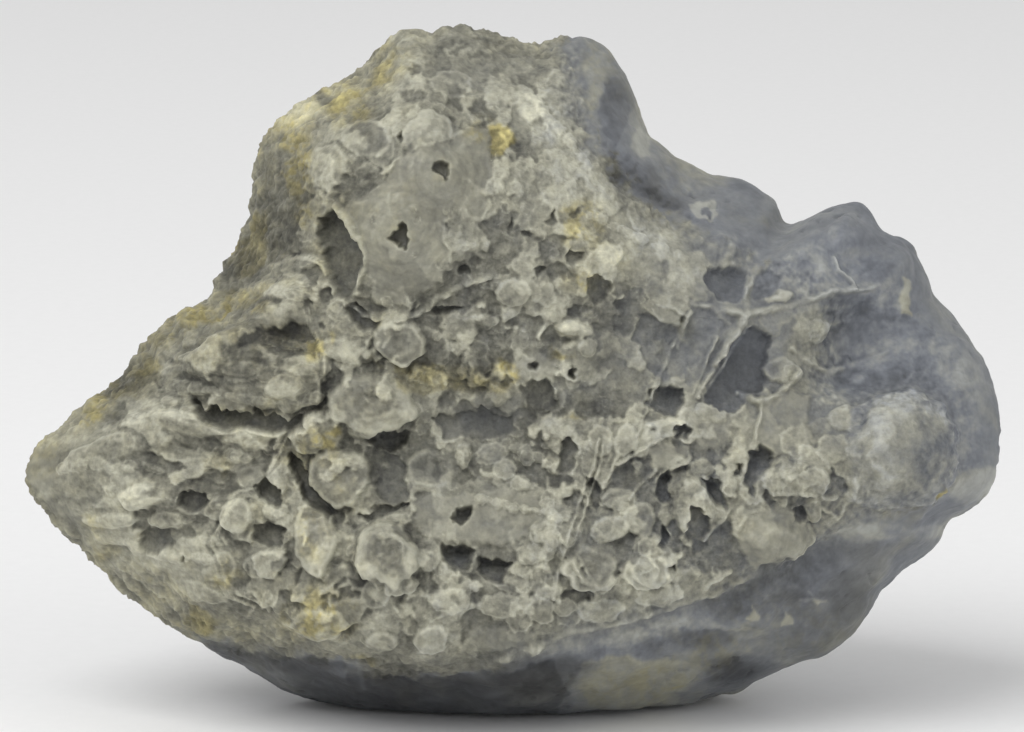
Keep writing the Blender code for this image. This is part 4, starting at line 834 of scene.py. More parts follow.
def freedom(shell, near, away):
    """How freely each place of a shell stands: all of it, or the side that its free edge is on."""
    if shell.free is None:
        return np.ones(away.shape)
    right, above = near[0] - shell.across, near[1] - shell.up
    facing = 0.5 + 0.5 * np.cos(np.arctan2(above, right) - radians(shell.free))
    outer = smooth_step(0.0, 0.5, away)
    return smooth_step(0.0, 0.75, facing * outer + 0.45 * (1 - outer))


def lay_shell(maps, place, shell, seed):
    """Lays a shell over what is there: a dome or a cup whose edge stands free on one side or all round."""
    at = window(box_round(shell), 0.3)
    near = cut_out(place, at)
    relief, tone, rim, smooth = (maps[name][at] for name in ("relief", "tone", "rim", "smooth"))
    away = shell_distance(shell, near, seed)
    free = freedom(shell, near, away)
    body = np.sqrt(np.maximum(1 - away ** (5 if shell.cup > 0.3 else 2.6), 0))
    lip = (0.8 + shell.cup) * np.exp(-(((away - 0.88) / 0.07) ** 2)) * free
    bowl = 0.85 * shell.cup * smooth_step(0.82, 0.25, away)
    ripples = np.cos(tau * shell.rings * away**0.9)
    rings = 0.08 * ripples * smooth_step(1.0, 0.8, away) if shell.rings else 0
    height = 0.85 * shell.rise * (body * (0.35 + 0.65 * free) + 0.12 * lip - bowl + rings)
    on = away < 1
    kept = 0.15 if shell.rings else 0.4
    footing = (1 - kept) * relief[on].mean() + kept * relief if on.any() else relief
    lowest = relief - 0.25 * shell.rise
    wall = smooth_step(1.0, 0.93, away) * (on & (footing + height > lowest))
    # Painted highlight on the free edge and painted shadow in the crease round its foot, both in the rim mask
    crease = smooth_step(1.16, 1.0, away) * (away >= 0.97) * free * min(1.0, shell.rise)
    risen = (np.maximum(footing + height, lowest) - relief) * wall
    maps["relief"][at] = relief + risen - 0.06 * crease * shell.rise
    maps["tone"][at] = tone + (shell.tone - tone) * wall * 0.8 * (0.4 + 0.6 * free)
    edge = np.maximum(rim * (1 - wall), smooth_step(0.72, 0.9, away) * free * (wall > 0))
    maps["rim"][at] = np.where(wall > 0, edge, rim) - 0.15 * crease * ~on
    maps["smooth"][at] = smooth + (min(1, 0.4 * shell.rings) * 0.75 - smooth) * wall
    if shell.rings:
        maps["rings"][at] += wall * ripples * smooth_step(1.0, 0.85, away)


# Where small shells are scattered, in mm, and the first seed of their shapes
SCATTER_ACROSS, SCATTER_UP = (-48, 44), (-31, 34)
SCATTER_SEED = 1000


def scatter_shells(maps, place, count, seed):
    """Small shells at random on the crust: long and level where it is layered, and round elsewhere."""
    dice = np.random.default_rng(seed)
    for number in range(count):
        across, up = dice.uniform(*SCATTER_ACROSS), dice.uniform(*SCATTER_UP)
        sizing, aspect, way, side, bearing, height, hollow, shade = dice.random(8)
        at = int((up - MAP_BOTTOM) / MAP_STEP), int((across - MAP_LEFT) / MAP_STEP)
        if dice.random() > maps["rugged"][at]:
            continue
        size = 0.35 + 1.25 * sizing**3
        layered = maps["layered"][at] > 0.5
        width = size * (1.3 + 1.2 * aspect if layered else 1 + 0.5 * aspect)
        turn = 24 * way - 4 if layered else 180 * way
        free = None if side < 0.25 else 190 + 120 * bearing if side < 0.8 else 360 * bearing
        rings = 1 if size > 1.1 and shade > 0.5 else 0
        shell = Shell(across, up, width, size, turn, size * (0.12 + 0.2 * height), 0.7 * hollow**3, rings,
                      0.46 + 0.14 * shade, free)
        lay_shell(maps, place, shell, SCATTER_SEED + number)


# The first seeds of the shapes of the lumps in rows, and of the named shells
ROW_SEED = 3000
SHELL_SEED = 50


def lay_rows(maps, place):
    """Rows of small lumps along lines of the crust."""
    dice = np.random.default_rng(701)
    for row in ROWS:
        for start, end in zip(row.line, row.line[1:]):
            run = np.subtract(end, start)
            count = max(1, round(np.hypot(*run) / (1.45 * row.half_width)))
            for number in range(count):
                across, up = start + run * (number + dice.uniform(0.1, 0.9)) / count
                width, height, turn, shade = dice.uniform(0.65, 1.3, 4)
                turn = degrees(np.arctan2(run[1], run[0])) + 50 * (turn - 1)
                sizes = row.half_width * width, row.half_height * height
                tone = row.tone + 0.2 * (shade - 1)
                shell = Shell(across, up + 0.3 * (shade - 1), *sizes, turn, row.rise * height, 0, 0, tone)
                lay_shell(maps, place, shell, ROW_SEED + round(900 * width + 90 * shade))


def crust_ground(maps, place):
    """The crust under its shells: two ragged layers with lumps on them."""
    layered = maps["layered"]
    bent = wobbled(place, ((0.5, 1.8),), 51)
    flat = (bent[0] * 0.42, bent[1] * 1.25 + 0.15 * bent[0])
    rounded = 0.6 * pillows(bent, 3.1, 1, 61) + 0.6 * pillows(bent, 1.5, 1, 62)
    rounded += 0.42 * pillows(bent, 0.75, 2, 63)
    level = 0.5 * pillows(flat, 3.1, 1, 71) + 0.6 * pillows(flat, 1.5, 1, 72)
    level += 0.46 * pillows(flat, 0.75, 2, 73)
    ground = rounded * (1 - layered) + level * layered
    ragged = wobbled(place, ((0.5, 2.6), (0.3, 1.1), (0.16, 0.5)), 11)
    drawn = (ragged[0] * (1 - 0.45 * layered), ragged[1])
    bias = 0.5 * maps["tones"]
    upper = smooth_step(-0.03, 0.10, swells(drawn, 5.2, 4, 81, 0.55) + 0.10 + bias)
    top = smooth_step(-0.02, 0.08, swells(drawn, 2.8, 3, 86, 0.55) - 0.06 + bias)
    calm = 0.35 + 0.75 * smooth_step(-0.45, 0.55, swells(place, 7.5, 2, 85))
    layers = 0.42 * upper + 0.28 * top * upper
    maps["layers"] = (upper + top * upper) / 2
    maps["relief"] += (0.4 * ground * calm + layers) * maps["rugged"]
    # Painted highlight along the upper layers' edges and painted shade just below them
    maps["rim"] += 0.5 * (upper - evened(upper, 0.3)) * maps["rugged"]


def cut_pits(maps, place):
    """Cuts the sharp-edged hollows, which are deepest under their upper edge; their floors get painted shade
    and their lips a painted highlight.
    """
    for pit in PITS:
        box = box_of(pit.outline)
        at = window(box)
        near = cut_out(place, at)
        inner = inside_by(pit.outline, near)
        cut = smooth_step(-0.12, 0.12 + 0.09 * pit.depth, inner)
        under = smooth_step(box[2] - 0.3, box[3] + 0.3, near[1])
        relief = maps["relief"][at]
        floor = np.minimum(0.35 * relief - 0.42 * pit.depth * (0.35 + 0.65 * under), relief)
        maps["relief"][at] = relief + (floor - relief) * cut
        # Painted shade: the deep mask darkens the floor
        maps["deep"][at] = np.maximum(maps["deep"][at], cut * min(1, 0.45 + pit.depth / 6))
        # Painted highlight on the lip round the hollow, strongest along its lower side
        edge = smooth_step(-0.3, -0.08, inner) * (inner < 0) * min(1, pit.depth / 2.5) * (1.2 - under)
        maps["rim"][at] = np.maximum(maps["rim"][at], 0.4 * edge) * (1 - cut)
        maps["tone"][at] += (0.5 - maps["tone"][at]) * cut


def raise_ridges(maps, place):
    """Raises the sharp lips, veins and fins."""
    for ridge in RIDGES:
        at = window(box_of(ridge.line))
        near = cut_out(place, at)
        away = line_distance(ridge.line, near)
        uneven = 0.35 + 0.9 * smooth_step(-0.5, 0.6, swells(near, 1.8, 2, 111))
        maps["relief"][at] += ridge.rise * smooth_step(ridge.half_width * 1.6, 0, away) * uneven
        pale = ridge.tone * smooth_step(ridge.half_width * 1.5, ridge.half_width * 0.3, away) * uneven
        maps["lines"][at] = np.maximum(maps["lines"][at], pale)


def plate_bands(place):
    """The fine wavy bands that ring the eyes of the smooth plate."""
    rings = [np.hypot(place[0] - eye[0], place[1] - eye[1]) for eye in EYES]
    level = np.minimum(rings[0], rings[1] * 1.15) + 0.9 * swells(place, 4.5, 3, 131)
    outline = PLATES[0].outline
    at = window(box_of(outline))
    shown = np.zeros(level.shape)
    shown[at] = smooth_step(-0.1, 0.5, inside_by(outline, cut_out(place, at)))
    bands = np.cos(tau * level / 1.25) + 0.5 * np.cos(tau * level / 0.5)
    return bands * shown * smooth_step(0.8, 2.4, level)


# How light the stone is, as display values: bare stone, the painted shade on the floors of pits, pale veins,
# and the range of all
BARE_LIGHT, PIT_SHADE_LIGHT, VEIN_LIGHT = 0.462, 0.360, 0.63
DARKEST, LIGHTEST = 0.16, 0.78


def light_map(maps, place):
    """How light each place of the face is, as a display value, with painted shade in hollows and painted
    highlights on what stands out.
    """
    relief, crust, rugged = maps["relief"], maps["crust"], maps["rugged"]
    # Painted light and shade: raised places lighter, hollows darker, and lit edges from the rim mask
    small = np.clip(relief - evened(relief, 0.3), -0.2, 0.25)
    middle = np.clip(relief - evened(relief, 0.9), -0.5, 0.5)
    broad = np.clip(relief - evened(relief, 2.6), -1.2, 1.0)
    shape = 0.22 * (maps["tone"] - 0.5) + 0.18 * small + 0.08 * middle + 0.06 * broad + 0.115 * maps["rim"]
    light = BARE_LIGHT + 0.052 * crust + (0.5 + 0.1 * crust) * maps["tones"]
    light += crust * shape
    light += (0.25 * crust + 0.75 * rugged) * 0.20 * (maps["layers"] - 0.5)
    streaks = swells((place[0] * 0.35, place[1] * 1.5 + 0.2 * place[0]), 1.1, 3, 155, 0.7)
    light += rugged * maps["layered"] * 0.06 * streaks
    light += crust * (0.3 + 0.7 * rugged) * 0.06 * swells(place, 1.6, 4, 151, 0.85)
    drawn = (0.5 * place[0] + 0.3 * place[1], 1.4 * place[1] - 0.4 * place[0])
    marks = 0.05 * swells(place, 6, 4, 161, 0.6) + 0.055 * swells(place, 1.3, 4, 162, 0.8)
    # On bare stone the sharp lines of the folds are a little lighter: a painted highlight
    light += (1 - crust) * (marks + 0.045 * swells(drawn, 2.2, 3, 163) + 0.05 * maps["creases"])
    light += 0.10 * maps["edge"] * swells(place, 0.55, 2, 164)
    light += 0.010 * maps["bands"] + 0.016 * maps["rings"]
    # The floors of pits are pulled towards their painted shade
    floor = PIT_SHADE_LIGHT + 0.02 * swells(place, 1.8, 3, 171) + 0.12 * maps["tones"]
    light += (floor - light) * 0.85 * maps["deep"]
    light += (VEIN_LIGHT - light) * np.clip(1.9 * maps["lines"], 0, 0.85)
    return np.clip(light - np.maximum(light - 0.6, 0) * 0.4, DARKEST, LIGHTEST)


# How yellow bare stone is, and how much yellower the crust
BARE_WARMTH, CRUST_WARMTH = 0.08, 0.31


def warm_map(maps, place):
    """How yellow each place of the face is: 0 is blue-grey, 0.4 olive grey and 1 ochre."""
    relief, light, crust = maps["relief"], maps["light"], maps["crust"]
    around, rightward = evened(crust, 2.6), smooth_step(-4, 26, place[0])
    warm = BARE_WARMTH + around * (CRUST_WARMTH + 0.07 * smooth_step(-2, -20, place[0]))
    warm += 0.16 * (1 - around) * smooth_step(0.42, 0.6, light)
    warm -= 0.11 * around * rightward * smooth_step(0.54, 0.36, light)
    raised = np.clip(relief - evened(relief, 2.6), -1.0, 0.8)
    warm += crust * (0.04 * raised + 0.05 * swells(place, 3.0, 3, 186))
    warm += 0.06 * (maps["layers"] - 0.5) * maps["rugged"] - 0.08 * smooth_step(0.53, 0.68, light)
    warm += (1 - warm) * maps["stain"] + maps["tinge"]
    # Pit floors are also less yellow, with their painted shade
    return np.clip(warm * (1 - 0.25 * maps["deep"]), 0, 1)


def mark_areas(maps, place, ragged):
    """Marks the crust, its stains and broad tones. Gives how far inside its edge places are, and the haze."""
    above = 0.5 + smooth_step(-22, -10, place[1])
    depth = inside_by(CRUST, wobbled(ragged, ((0.6, 4.0),), 31)) + above * swells(place, 1.8, 4, 33, 0.7)
    maps["edge"] = smooth_step(-2.2, -0.3, depth) * smooth_step(2.6, 0.8, depth) * (above - 0.5)
    haze = blot(HAZE, wobbled(place, ((1.5, 5.0), (0.5, 1.6)), 146))
    maps["crust"] = smooth_step(-0.8, 1.1, depth) * (1 - 0.75 * haze)
    mottled = 0.3 + 0.7 * smooth_step(-0.35, 0.35, swells(place, 1.7, 4, 185, 0.8))
    maps["stain"] = blot(WARM, wobbled(place, ((0.9, 2.2), (0.3, 0.8)), 181)) * mottled
    maps["layered"] = smooth_step(-1.2, 1.2, inside_by(LAYERED, wobbled(place, ((2.0, 6.0),), 41)))
    maps["tones"] = blot(TONES, wobbled(place, ((0.8, 3.5),), 141), add=True)
    maps["tone"] = 0.5 + 0.12 * swells(place, 4.5, 3, 91)
    return depth, haze


def lay_skins(maps, torn):
    """Lays the smooth plates, and the places of another colour with a clear edge."""
    for plate in PLATES:
        at = window(box_of(plate.outline))
        inner = inside_by(plate.outline, cut_out(torn, at))
        maps["smooth"][at] = np.maximum(maps["smooth"][at], plate.smooth * smooth_step(-0.15, 0.35, inner))
        maps["relief"][at] += plate.lift * smooth_step(-0.2, 0.15, inner)
    for tint in TINTS:
        at = window(box_of(tint.outline))
        over = smooth_step(-tint.soft, tint.soft, inside_by(tint.outline, cut_out(torn, at)))
        maps["relief"][at] += tint.lift * over
        maps["tones"][at] += tint.tone * over
        maps["tinge"][at] += tint.warm * over


def lay_patches(maps, ragged):
    """Raises the broad lumps and lowers the broad dips."""
    for patches, way, foot, crown in ((KNOBS, 1, 1.15, 0.5), (DIPS, -1, 1.2, 0.3)):
        for patch in patches:
            at = window(box_round(patch))
            away = patch_distance(patch, cut_out(ragged, at))
            maps["relief"][at] += way * patch.rise * smooth_step(foot, crown, away)


def fold_bare_stone(maps, place):
    """Gives the bare stone its low folds, with creases between them, and marks these sharp lines for a
    painted highlight.
    """
    bends = np.abs(swells(place, 15, 2, 193))
    maps["creases"] = smooth_step(0.14, 0.0, bends)
    folds = 0.30 + 0.25 * swells(place, 6.0, 3, 191) - 0.9 * bends + 0.10 * swells(place, 2.4, 3, 194)
    maps["relief"] += folds * (1 - maps["crust"])


@lru_cache(maxsize=1)
def face_maps(shell_count, seed):
    """The relief of the face, in mm, and the masks that its material reads, as maps of across and up."""
    sides = np.arange(MAP_LEFT, MAP_RIGHT, MAP_STEP), np.arange(MAP_BOTTOM, MAP_TOP, MAP_STEP)
    place = [axis.astype(np.float32) for axis in np.meshgrid(*sides)]
    blank = np.zeros(place[0].shape, np.float32)
    ragged = wobbled(place, ((0.45, 2.6), (0.32, 1.1), (0.17, 0.5)), 11)
    slightly, torn = (
        [axis + share * (bent - axis) for axis, bent in zip(place, ragged)] for share in (0.35, 0.8)
    )
    maps = {name: blank.copy() for name in ("relief", "rim", "smooth", "deep", "lines", "rings", "tinge")}
    depth, haze = mark_areas(maps, place, ragged)
    lay_skins(maps, torn)
    calm = blot(CALM, wobbled(place, ((1.2, 4.0),), 145))
    rugged = smooth_step(-0.4, 3.6, depth) * (1 - 0.85 * maps["smooth"])
    maps["rugged"] = rugged * (1 - 0.8 * calm) * (1 - 0.6 * haze)
    lay_patches(maps, ragged)
    crust_ground(maps, place)
    scatter_shells(maps, place, shell_count, seed)
    lay_rows(maps, place)
    for number, shell in enumerate(SHELLS):
        lay_shell(maps, place, shell, SHELL_SEED + number)
    maps["relief"] = evened(maps["relief"], 0.14)
    granular = maps["crust"] * (1 - maps["smooth"])
    grains = beads(ragged, 0.72, 101) * smooth_step(-0.1, 0.5, swells(place, 5, 2, 103)) * granular
    maps["relief"] += 0.14 * grains
    maps["tone"] += 0.12 * grains
    broad = evened(maps["relief"], 1.5)
    maps["relief"] = broad + (0.8 - 0.2 * maps["layered"]) * (maps["relief"] - broad)
    cut_pits(maps, wobbled(torn, ((0.09, 0.35),), 17))
    raise_ridges(maps, slightly)
    maps["bands"] = plate_bands(place)
    maps["relief"] += 0.02 * maps["bands"]
    maps["relief"] += 0.06 * swells(place, 0.8, 3, 121, 0.8) * (0.5 + 0.5 * granular)
    fold_bare_stone(maps, place)
    maps["droop"] = np.clip(maps["relief"] - evened(maps["relief"], 1.1), -0.5, 0.7) * maps["rugged"]
    maps["light"] = light_map(maps, place)
    maps["warm"] = warm_map(maps, place)
    return maps


def spline_surface(spots):
    """A smooth surface through the spot heights: a function of arrays across and up that gives out."""
    spots = np.array(spots, float)
    count = len(spots)

    def kernel(distance):
        return distance**2 * np.log(np.maximum(distance, 1e-6))

    between = np.linalg.norm(spots[:, None, :2] - spots[None, :, :2], axis=2)
    plane = np.column_stack((np.ones(count), spots[:, :2]))
    system = np.zeros((count + 3, count + 3))
    system[:count, :count] = kernel(between) + SPOT_SOFTNESS * np.eye(count)
    system[:count, count:] = plane
    system[count:, :count] = plane.T
    weights = np.linalg.solve(system, np.append(spots[:, 2], np.zeros(3)))

    def out_at(across, up):
        out = weights[count] + across * weights[-2] + up * weights[-1]
        for (x, y, _), weight in zip(spots, weights):
            out = out + weight * kernel(np.hypot(across - x, up - y))
        return out

    return out_at


def outline_reach(bearing):
    """How far the outline is from the hub at each bearing, on a smooth closed curve through its points."""
    points = np.array(OUTLINE) - HUB
    angles = np.arctan2(points[:, 1], points[:, 0])
    order = np.argsort(angles)
    angles = angles[order]
    reach = np.hypot(points[order, 0], points[order, 1])
    knots = np.concatenate((angles[-2:] - tau, angles, angles[:2] + tau))
    values = np.concatenate((reach[-2:], reach, reach[:2]))
    slopes = np.gradient(values, knots)
    after = np.clip(np.searchsorted(knots, bearing), 1, len(knots) - 1)
    before = after - 1
    step = knots[after] - knots[before]
    t = (bearing - knots[before]) / step
    return (
        (2 * t**3 - 3 * t**2 + 1) * values[before]
        + (t**3 - 2 * t**2 + t) * step * slopes[before]
        + (3 * t**2 - 2 * t**3) * values[after]
        + (t**3 - t**2) * step * slopes[after]
    )


def even_reach(bearing):
    """The outline's reach with its notches and corners evened out."""
    turns = np.radians(np.arange(-18, 19, 4))
    weights = np.cos(turns * radians(90) / radians(20))
    around = [w * outline_reach(np.remainder(bearing + t + pi, tau) - pi) for w, t in zip(weights, turns)]
    return sum(around) / weights.sum()


front_at, back_at = spline_surface(FRONT), spline_surface(BACK)

Base = namedtuple("Base", "points spread behind")


def base_at(across, up, spread, ahead):
    """The stone without its crust at places of the face: on its front where ahead is true, else its back."""
    front, back = front_at(across, up), back_at(across, up)
    waist = (front + back) / 2
    fullness = np.sqrt(np.maximum(1 - spread**EDGE_SQUARENESS, 0))
    out = waist + np.where(ahead, front - waist, back - waist) * fullness
    return Base(np.column_stack((across, up, out)), spread, waist - out)


def base_along(ways):
    """The stone without its crust in each direction from its inside."""
    spread = np.hypot(ways[:, 0], ways[:, 1])
    bearing = np.arctan2(ways[:, 1], ways[:, 0])
    near_rim = smooth_step(np.where(ways[:, 2] > 0, 0.4, 0.8), 1.0, spread)
    reach = spread * (even_reach(bearing) * (1 - near_rim) + outline_reach(bearing) * near_rim)
    unit = ways[:, :2] / np.maximum(spread, 1e-9)[:, None]
    return base_at(HUB[0] + reach * unit[:, 0], HUB[1] + reach * unit[:, 1], spread, ways[:, 2] > 0)


def spread_at(across, up):
    """How near the rim each place of the face is: 0 at the hub and 1 on the outline."""
    right, above = across - HUB[0], up - HUB[1]
    bearing = np.arctan2(above, right)
    outline, even = outline_reach(bearing), even_reach(bearing)
    spread = np.hypot(right, above) / outline
    for _ in range(4):
        near_rim = smooth_step(0.4, 1.0, spread)
        spread = np.hypot(right, above) / (even * (1 - near_rim) + outline * near_rim)
    return spread


def cut_breaks(points):
    """Cuts the flat breaks of the back, which ripple a little as a shell-like break does."""
    ripple = 0.5 * swells(points.T, 14, 3, 211)
    for plane in BREAKS:
        normal = np.array((plane.across, plane.up, plane.out))
        normal /= np.linalg.norm(normal)
        beyond = points @ normal - plane.reach - ripple
        points = points - np.outer(np.maximum(beyond, 0), normal)
    return points


def set_down(points):
    """Takes points from the frame of the face, in mm, to the stone's place in the world, in metres."""
    points = np.array(points, float)
    points[:, :2] *= 1 - points[:, 2:] * FRONT_TAPER
    face_to_world = np.array(((1, 0, 0), (0, sin(LEAN), -cos(LEAN)), (0, cos(LEAN), sin(LEAN))))
    points = points @ face_to_world.T + (-MIDDLE.x, -MIDDLE.y, -REST_LEVEL)
    low = points[:, 2] < FLAT_BELOW
    points[low, 2] = FLAT_BELOW * np.exp(points[low, 2] / FLAT_BELOW - 1)
    return points * MM


def read_maps(maps, names, points):
    """The values of some maps at points of the face."""
    column = np.clip((points[:, 0] - MAP_LEFT) / MAP_STEP, 0, maps["relief"].shape[1] - 1.001)
    row = np.clip((points[:, 1] - MAP_BOTTOM) / MAP_STEP, 0, maps["relief"].shape[0] - 1.001)
    left, below = column.astype(int), row.astype(int)
    right_share, upper_share = column - left, row - below
    values = []
    for name in names:
        field = maps[name]
        lower = field[below, left] * (1 - right_share) + field[below, left + 1] * right_share
        upper = field[below + 1, left] * (1 - right_share) + field[below + 1, left + 1] * right_share
        values.append(lower * (1 - upper_share) + upper * upper_share)
    return values


MASKS = ("light", "warm", "crust", "smooth", "deep")


def side_looks(base, rind, tones, stain):
    """The relief, lightness and warmth of the sides and the back, where the crust thins out to bare stone."""
    place = base.points.T
    near = smooth_step(6.0, 0.0, base.behind)
    lumps = 0.8 * pillows(place, 3.1, 1, 231) + 0.6 * pillows(place, 1.5, 1, 232)
    lumps += 0.45 * pillows(place, 0.75, 1, 233)
    ripples = 0.10 * swells(np.sin(place / 2.2 + 0.5 * place[::-1]), 1.1, 2, 242)
    bubbles = pillows(place, 4.2, 1, 246) * smooth_step(-0.1, 0.3, swell(place, 17, 247))
    bare = 0.25 + 0.35 * swells(place, 6, 4, 241) - 0.9 * np.abs(swells(place, 15, 2, 243))
    bare = bare + 0.5 * bubbles + ripples
    skin = smooth_step(-0.05, 0.65, swells(place, 13, 5, 255, 0.6)) * (1 - rind)
    pocks = smooth_step(0.35, 0.6, swell(place, 1.2, 256)) * smooth_step(-0.1, 0.3, swell(place, 9, 257))
    pocks = pocks * (1 - rind)
    relief = rind * (lumps - 0.4) + (1 - rind) * bare + 0.12 * skin - 0.22 * pocks
    cloud = swells(place, 16, 4, 251, 0.6)
    bands = np.cos(tau * (place[1] + 3 * swells(place, 20, 2, 258)) / 2.6)
    bands = bands * smooth_step(0.1, 0.4, swell(place, 22, 259))
    light = 0.465 + 0.06 * cloud + 0.012 * bands * (1 - rind) + 0.04 * skin - 0.05 * pocks
    light += 0.5 * tones * near + 0.04 * swells(place, 2.2, 4, 261, 0.7)
    # On the rind the lumps are lighter the higher they stand: painted light and shade
    light += rind * (0.04 + 0.13 * (lumps - 0.6) + 0.07 * swells(place, 1.6, 3, 253, 0.8))
    warm = 0.12 + 0.12 * smooth_step(0.42, 0.6, light) + 0.04 * cloud + 0.1 * skin
    warm += rind * (0.3 + 0.08 * swells(place, 3.5, 2, 254))
    warm += 0.3 * rind * smooth_step(0.25, 0.6, swells(place, 7, 3, 252))
    warm += (1 - warm) * stain * near
    return relief, light, warm


def dress(base, normals, maps):
    """Puts the crust on points of the stone. Gives their new places and the masks that the material reads.

    Where the surface faces the viewer its relief and colour come from the maps, and elsewhere from noise.
    """
    facing = smooth_step(0.40, 0.65, normals[:, 2])
    inside = smooth_step(1.0, 0.95, base.spread)
    names = ("relief", "droop", "tones", "stain", *MASKS)
    relief, droop, tones, stain, *faced = read_maps(maps, names, base.points)
    masks = dict(zip(MASKS, faced))
    rind = masks["crust"] * smooth_step(7.0, 1.0, base.behind + 4.0 * swells(base.points.T, 8, 3, 221))
    side_relief, side_light, side_warm = side_looks(base, rind, tones, stain)
    masks["light"] = side_light + (masks["light"] - side_light) * facing
    masks["warm"] = np.clip(side_warm + (masks["warm"] - side_warm) * facing, 0, 1)
    masks["crust"] = rind
    masks["smooth"] = masks["smooth"] * facing
    masks["deep"] = masks["deep"] * facing * inside
    total = side_relief + (relief * inside - side_relief) * facing
    direction = normals + np.array((0, 0, 0.6)) * (masks["crust"] * facing)[:, None]
    direction /= np.linalg.norm(direction, axis=1)[:, None]
    sag = np.column_stack((np.zeros(len(total)), DROOP * droop * facing * inside, np.zeros(len(total))))
    return base.points + direction * total[:, None] - sag, masks


def coordinates(bm):
    """Where a mesh's vertices are, as rows of an array."""
    return np.array([vertex.co for vertex in bm.verts])


def place_points(bm, points):
    """Moves a mesh's vertices to new places."""
    for vertex, point in zip(bm.verts, points):
        vertex.co = point


def write_masks(bm, masks):
    """Writes the masks to a mesh's vertices, where the material reads them."""
    for name in MASKS:
        layer = bm.verts.layers.float.new(name)
        for vertex, value in zip(bm.verts, masks[name]):
            vertex[layer] = value


def piece_from(bm, name):
    """A smooth-shaded object with this mesh, whose faces point outwards."""
    bmesh.ops.recalc_face_normals(bm, faces=bm.faces)
    for face in bm.faces:
        face.smooth = True
    mesh = bpy.data.meshes.new(name)
    bm.to_mesh(mesh)
    bm.free()
    piece = bpy.data.objects.new(name, mesh)
    bpy.context.scene.collection.objects.link(piece)
    return piece


def split_long_edges(bm):
    """Halves each edge of the ball that would be too long on the stone."""
    ways = coordinates(bm)
    ways /= np.linalg.norm(ways, axis=1)[:, None]
    base = base_along(ways)
    ahead = ways[:, 2] > 0
    # Behind the outline, edges may be the longer the farther back they are.
    under_crust = ahead & (base.spread < HIDDEN_FROM)
    limit = np.where(ahead, RIM_EDGE, np.clip(0.45 + 0.07 * base.behind, RIM_EDGE, BACK_EDGE))
    limit = np.where(under_crust, HIDDEN_EDGE, limit)
    bm.verts.index_update()
    ends = np.array([(edge.verts[0].index, edge.verts[1].index) for edge in bm.edges])
    lengths = np.linalg.norm(base.points[ends[:, 0]] - base.points[ends[:, 1]], axis=1)
    too_long = lengths > np.minimum(limit[ends[:, 0]], limit[ends[:, 1]])
    long_edges = [edge for edge, long in zip(bm.edges, too_long) if long]
    bmesh.ops.subdivide_edges(bm, edges=long_edges, cuts=1, use_grid_fill=True)
    bmesh.ops.triangulate(bm, faces=bm.faces)


def stone_piece(maps):
    """The body of the stone: its rim, sides and back, and under the crust's slabs a plain lower front."""
    bm = bmesh.new()
    bmesh.ops.create_icosphere(bm, subdivisions=5, radius=1)
    for _ in range(SPLITS):
        split_long_edges(bm)
    ways = coordinates(bm)
    ways /= np.linalg.norm(ways, axis=1)[:, None]
    base = base_along(ways)
    base = base._replace(points=cut_breaks(base.points))
    place_points(bm, base.points)
    bm.normal_update()
    normals = np.array([vertex.normal for vertex in bm.verts])
    surface, masks = dress(base, normals, maps)
    lowered = smooth_step(RIM_FROM, LOWERED_FROM, base.spread) * (ways[:, 2] > 0)
    floor = base.points[:, 2] - np.minimum(SLAB_DEPTH, -0.8 * base.behind)
    surface[:, 2] += (floor - surface[:, 2]) * lowered
    place_points(bm, set_down(surface))
    write_masks(bm, masks)
    whole = bm.verts[:] + bm.edges[:] + bm.faces[:]
    bmesh.ops.bisect_plane(bm, geom=whole, plane_no=(0, 0, -1), clear_outer=True)
    rim = [edge for edge in bm.edges if edge.is_boundary]
    bmesh.ops.contextual_create(bm, geom=rim)
    bmesh.ops.triangulate(bm, faces=[face for face in bm.faces if len(face.verts) > 3])
    # A vertex with two faces is the tip of a fin, where the splitting has made one triangle twice.
    fins = [vertex for vertex in bm.verts if len(vertex.link_faces) == 2]
    bmesh.ops.delete(bm, geom=fins, context="VERTS")
    return piece_from(bm, "stone")


def front_normals(flat, base, step=0.2):
    """Which way the front faces, from how much farther out it is a small step to the right and above."""
    slope = [
        (base_at(*(flat + push), spread_at(*(flat + push)), True).points[:, 2] - base.points[:, 2]) / step
        for push in (((step,), (0,)), ((0,), (step,)))
    ]
    normals = np.column_stack((-slope[0], -slope[1], np.ones(len(base.spread))))
    return normals / np.linalg.norm(normals, axis=1)[:, None]


def slab_margin(outline, flat):
    """How far inside a slab places of the face are, in mm, and how sunk they are at its edge, from 0 to 1."""
    seam = inside_by(outline, wobbled(flat, ((1.2, 7.0),), 261)) + SLAB_LAP
    rim = (RIM_FROM + RIM_LAP - spread_at(*flat)) * OUTLINE_REACH
    margin = np.minimum(seam, rim)
    return margin, smooth_step(0.8, 0.1, margin)


def slab_grid(outline):
    """A fine flat grid over the part of the face that a slab covers."""
    left, right, bottom, top = box_of(outline)
    left, right = max(left, MAP_LEFT) - 1, min(right, MAP_RIGHT) + 1
    bottom, top = max(bottom, MAP_BOTTOM) - 1, min(top, MAP_TOP) + 1
    bm = bmesh.new()
    segments = round((right - left) / SLAB_STEP), round((top - bottom) / SLAB_STEP)
    bmesh.ops.create_grid(bm, x_segments=segments[0], y_segments=segments[1], size=0.5)
    bmesh.ops.scale(bm, vec=(right - left, top - bottom, 1), verts=bm.verts)
    bmesh.ops.translate(bm, vec=((right + left) / 2, (top + bottom) / 2, 0), verts=bm.verts)
    margin, _ = slab_margin(outline, coordinates(bm)[:, :2].T)
    outside = [vertex for vertex, inner in zip(bm.verts, margin) if inner < 0]
    bmesh.ops.delete(bm, geom=outside, context="VERTS")
    slivers = [vertex for vertex in bm.verts if not vertex.link_faces]
    bmesh.ops.delete(bm, geom=slivers, context="VERTS")
    return bm


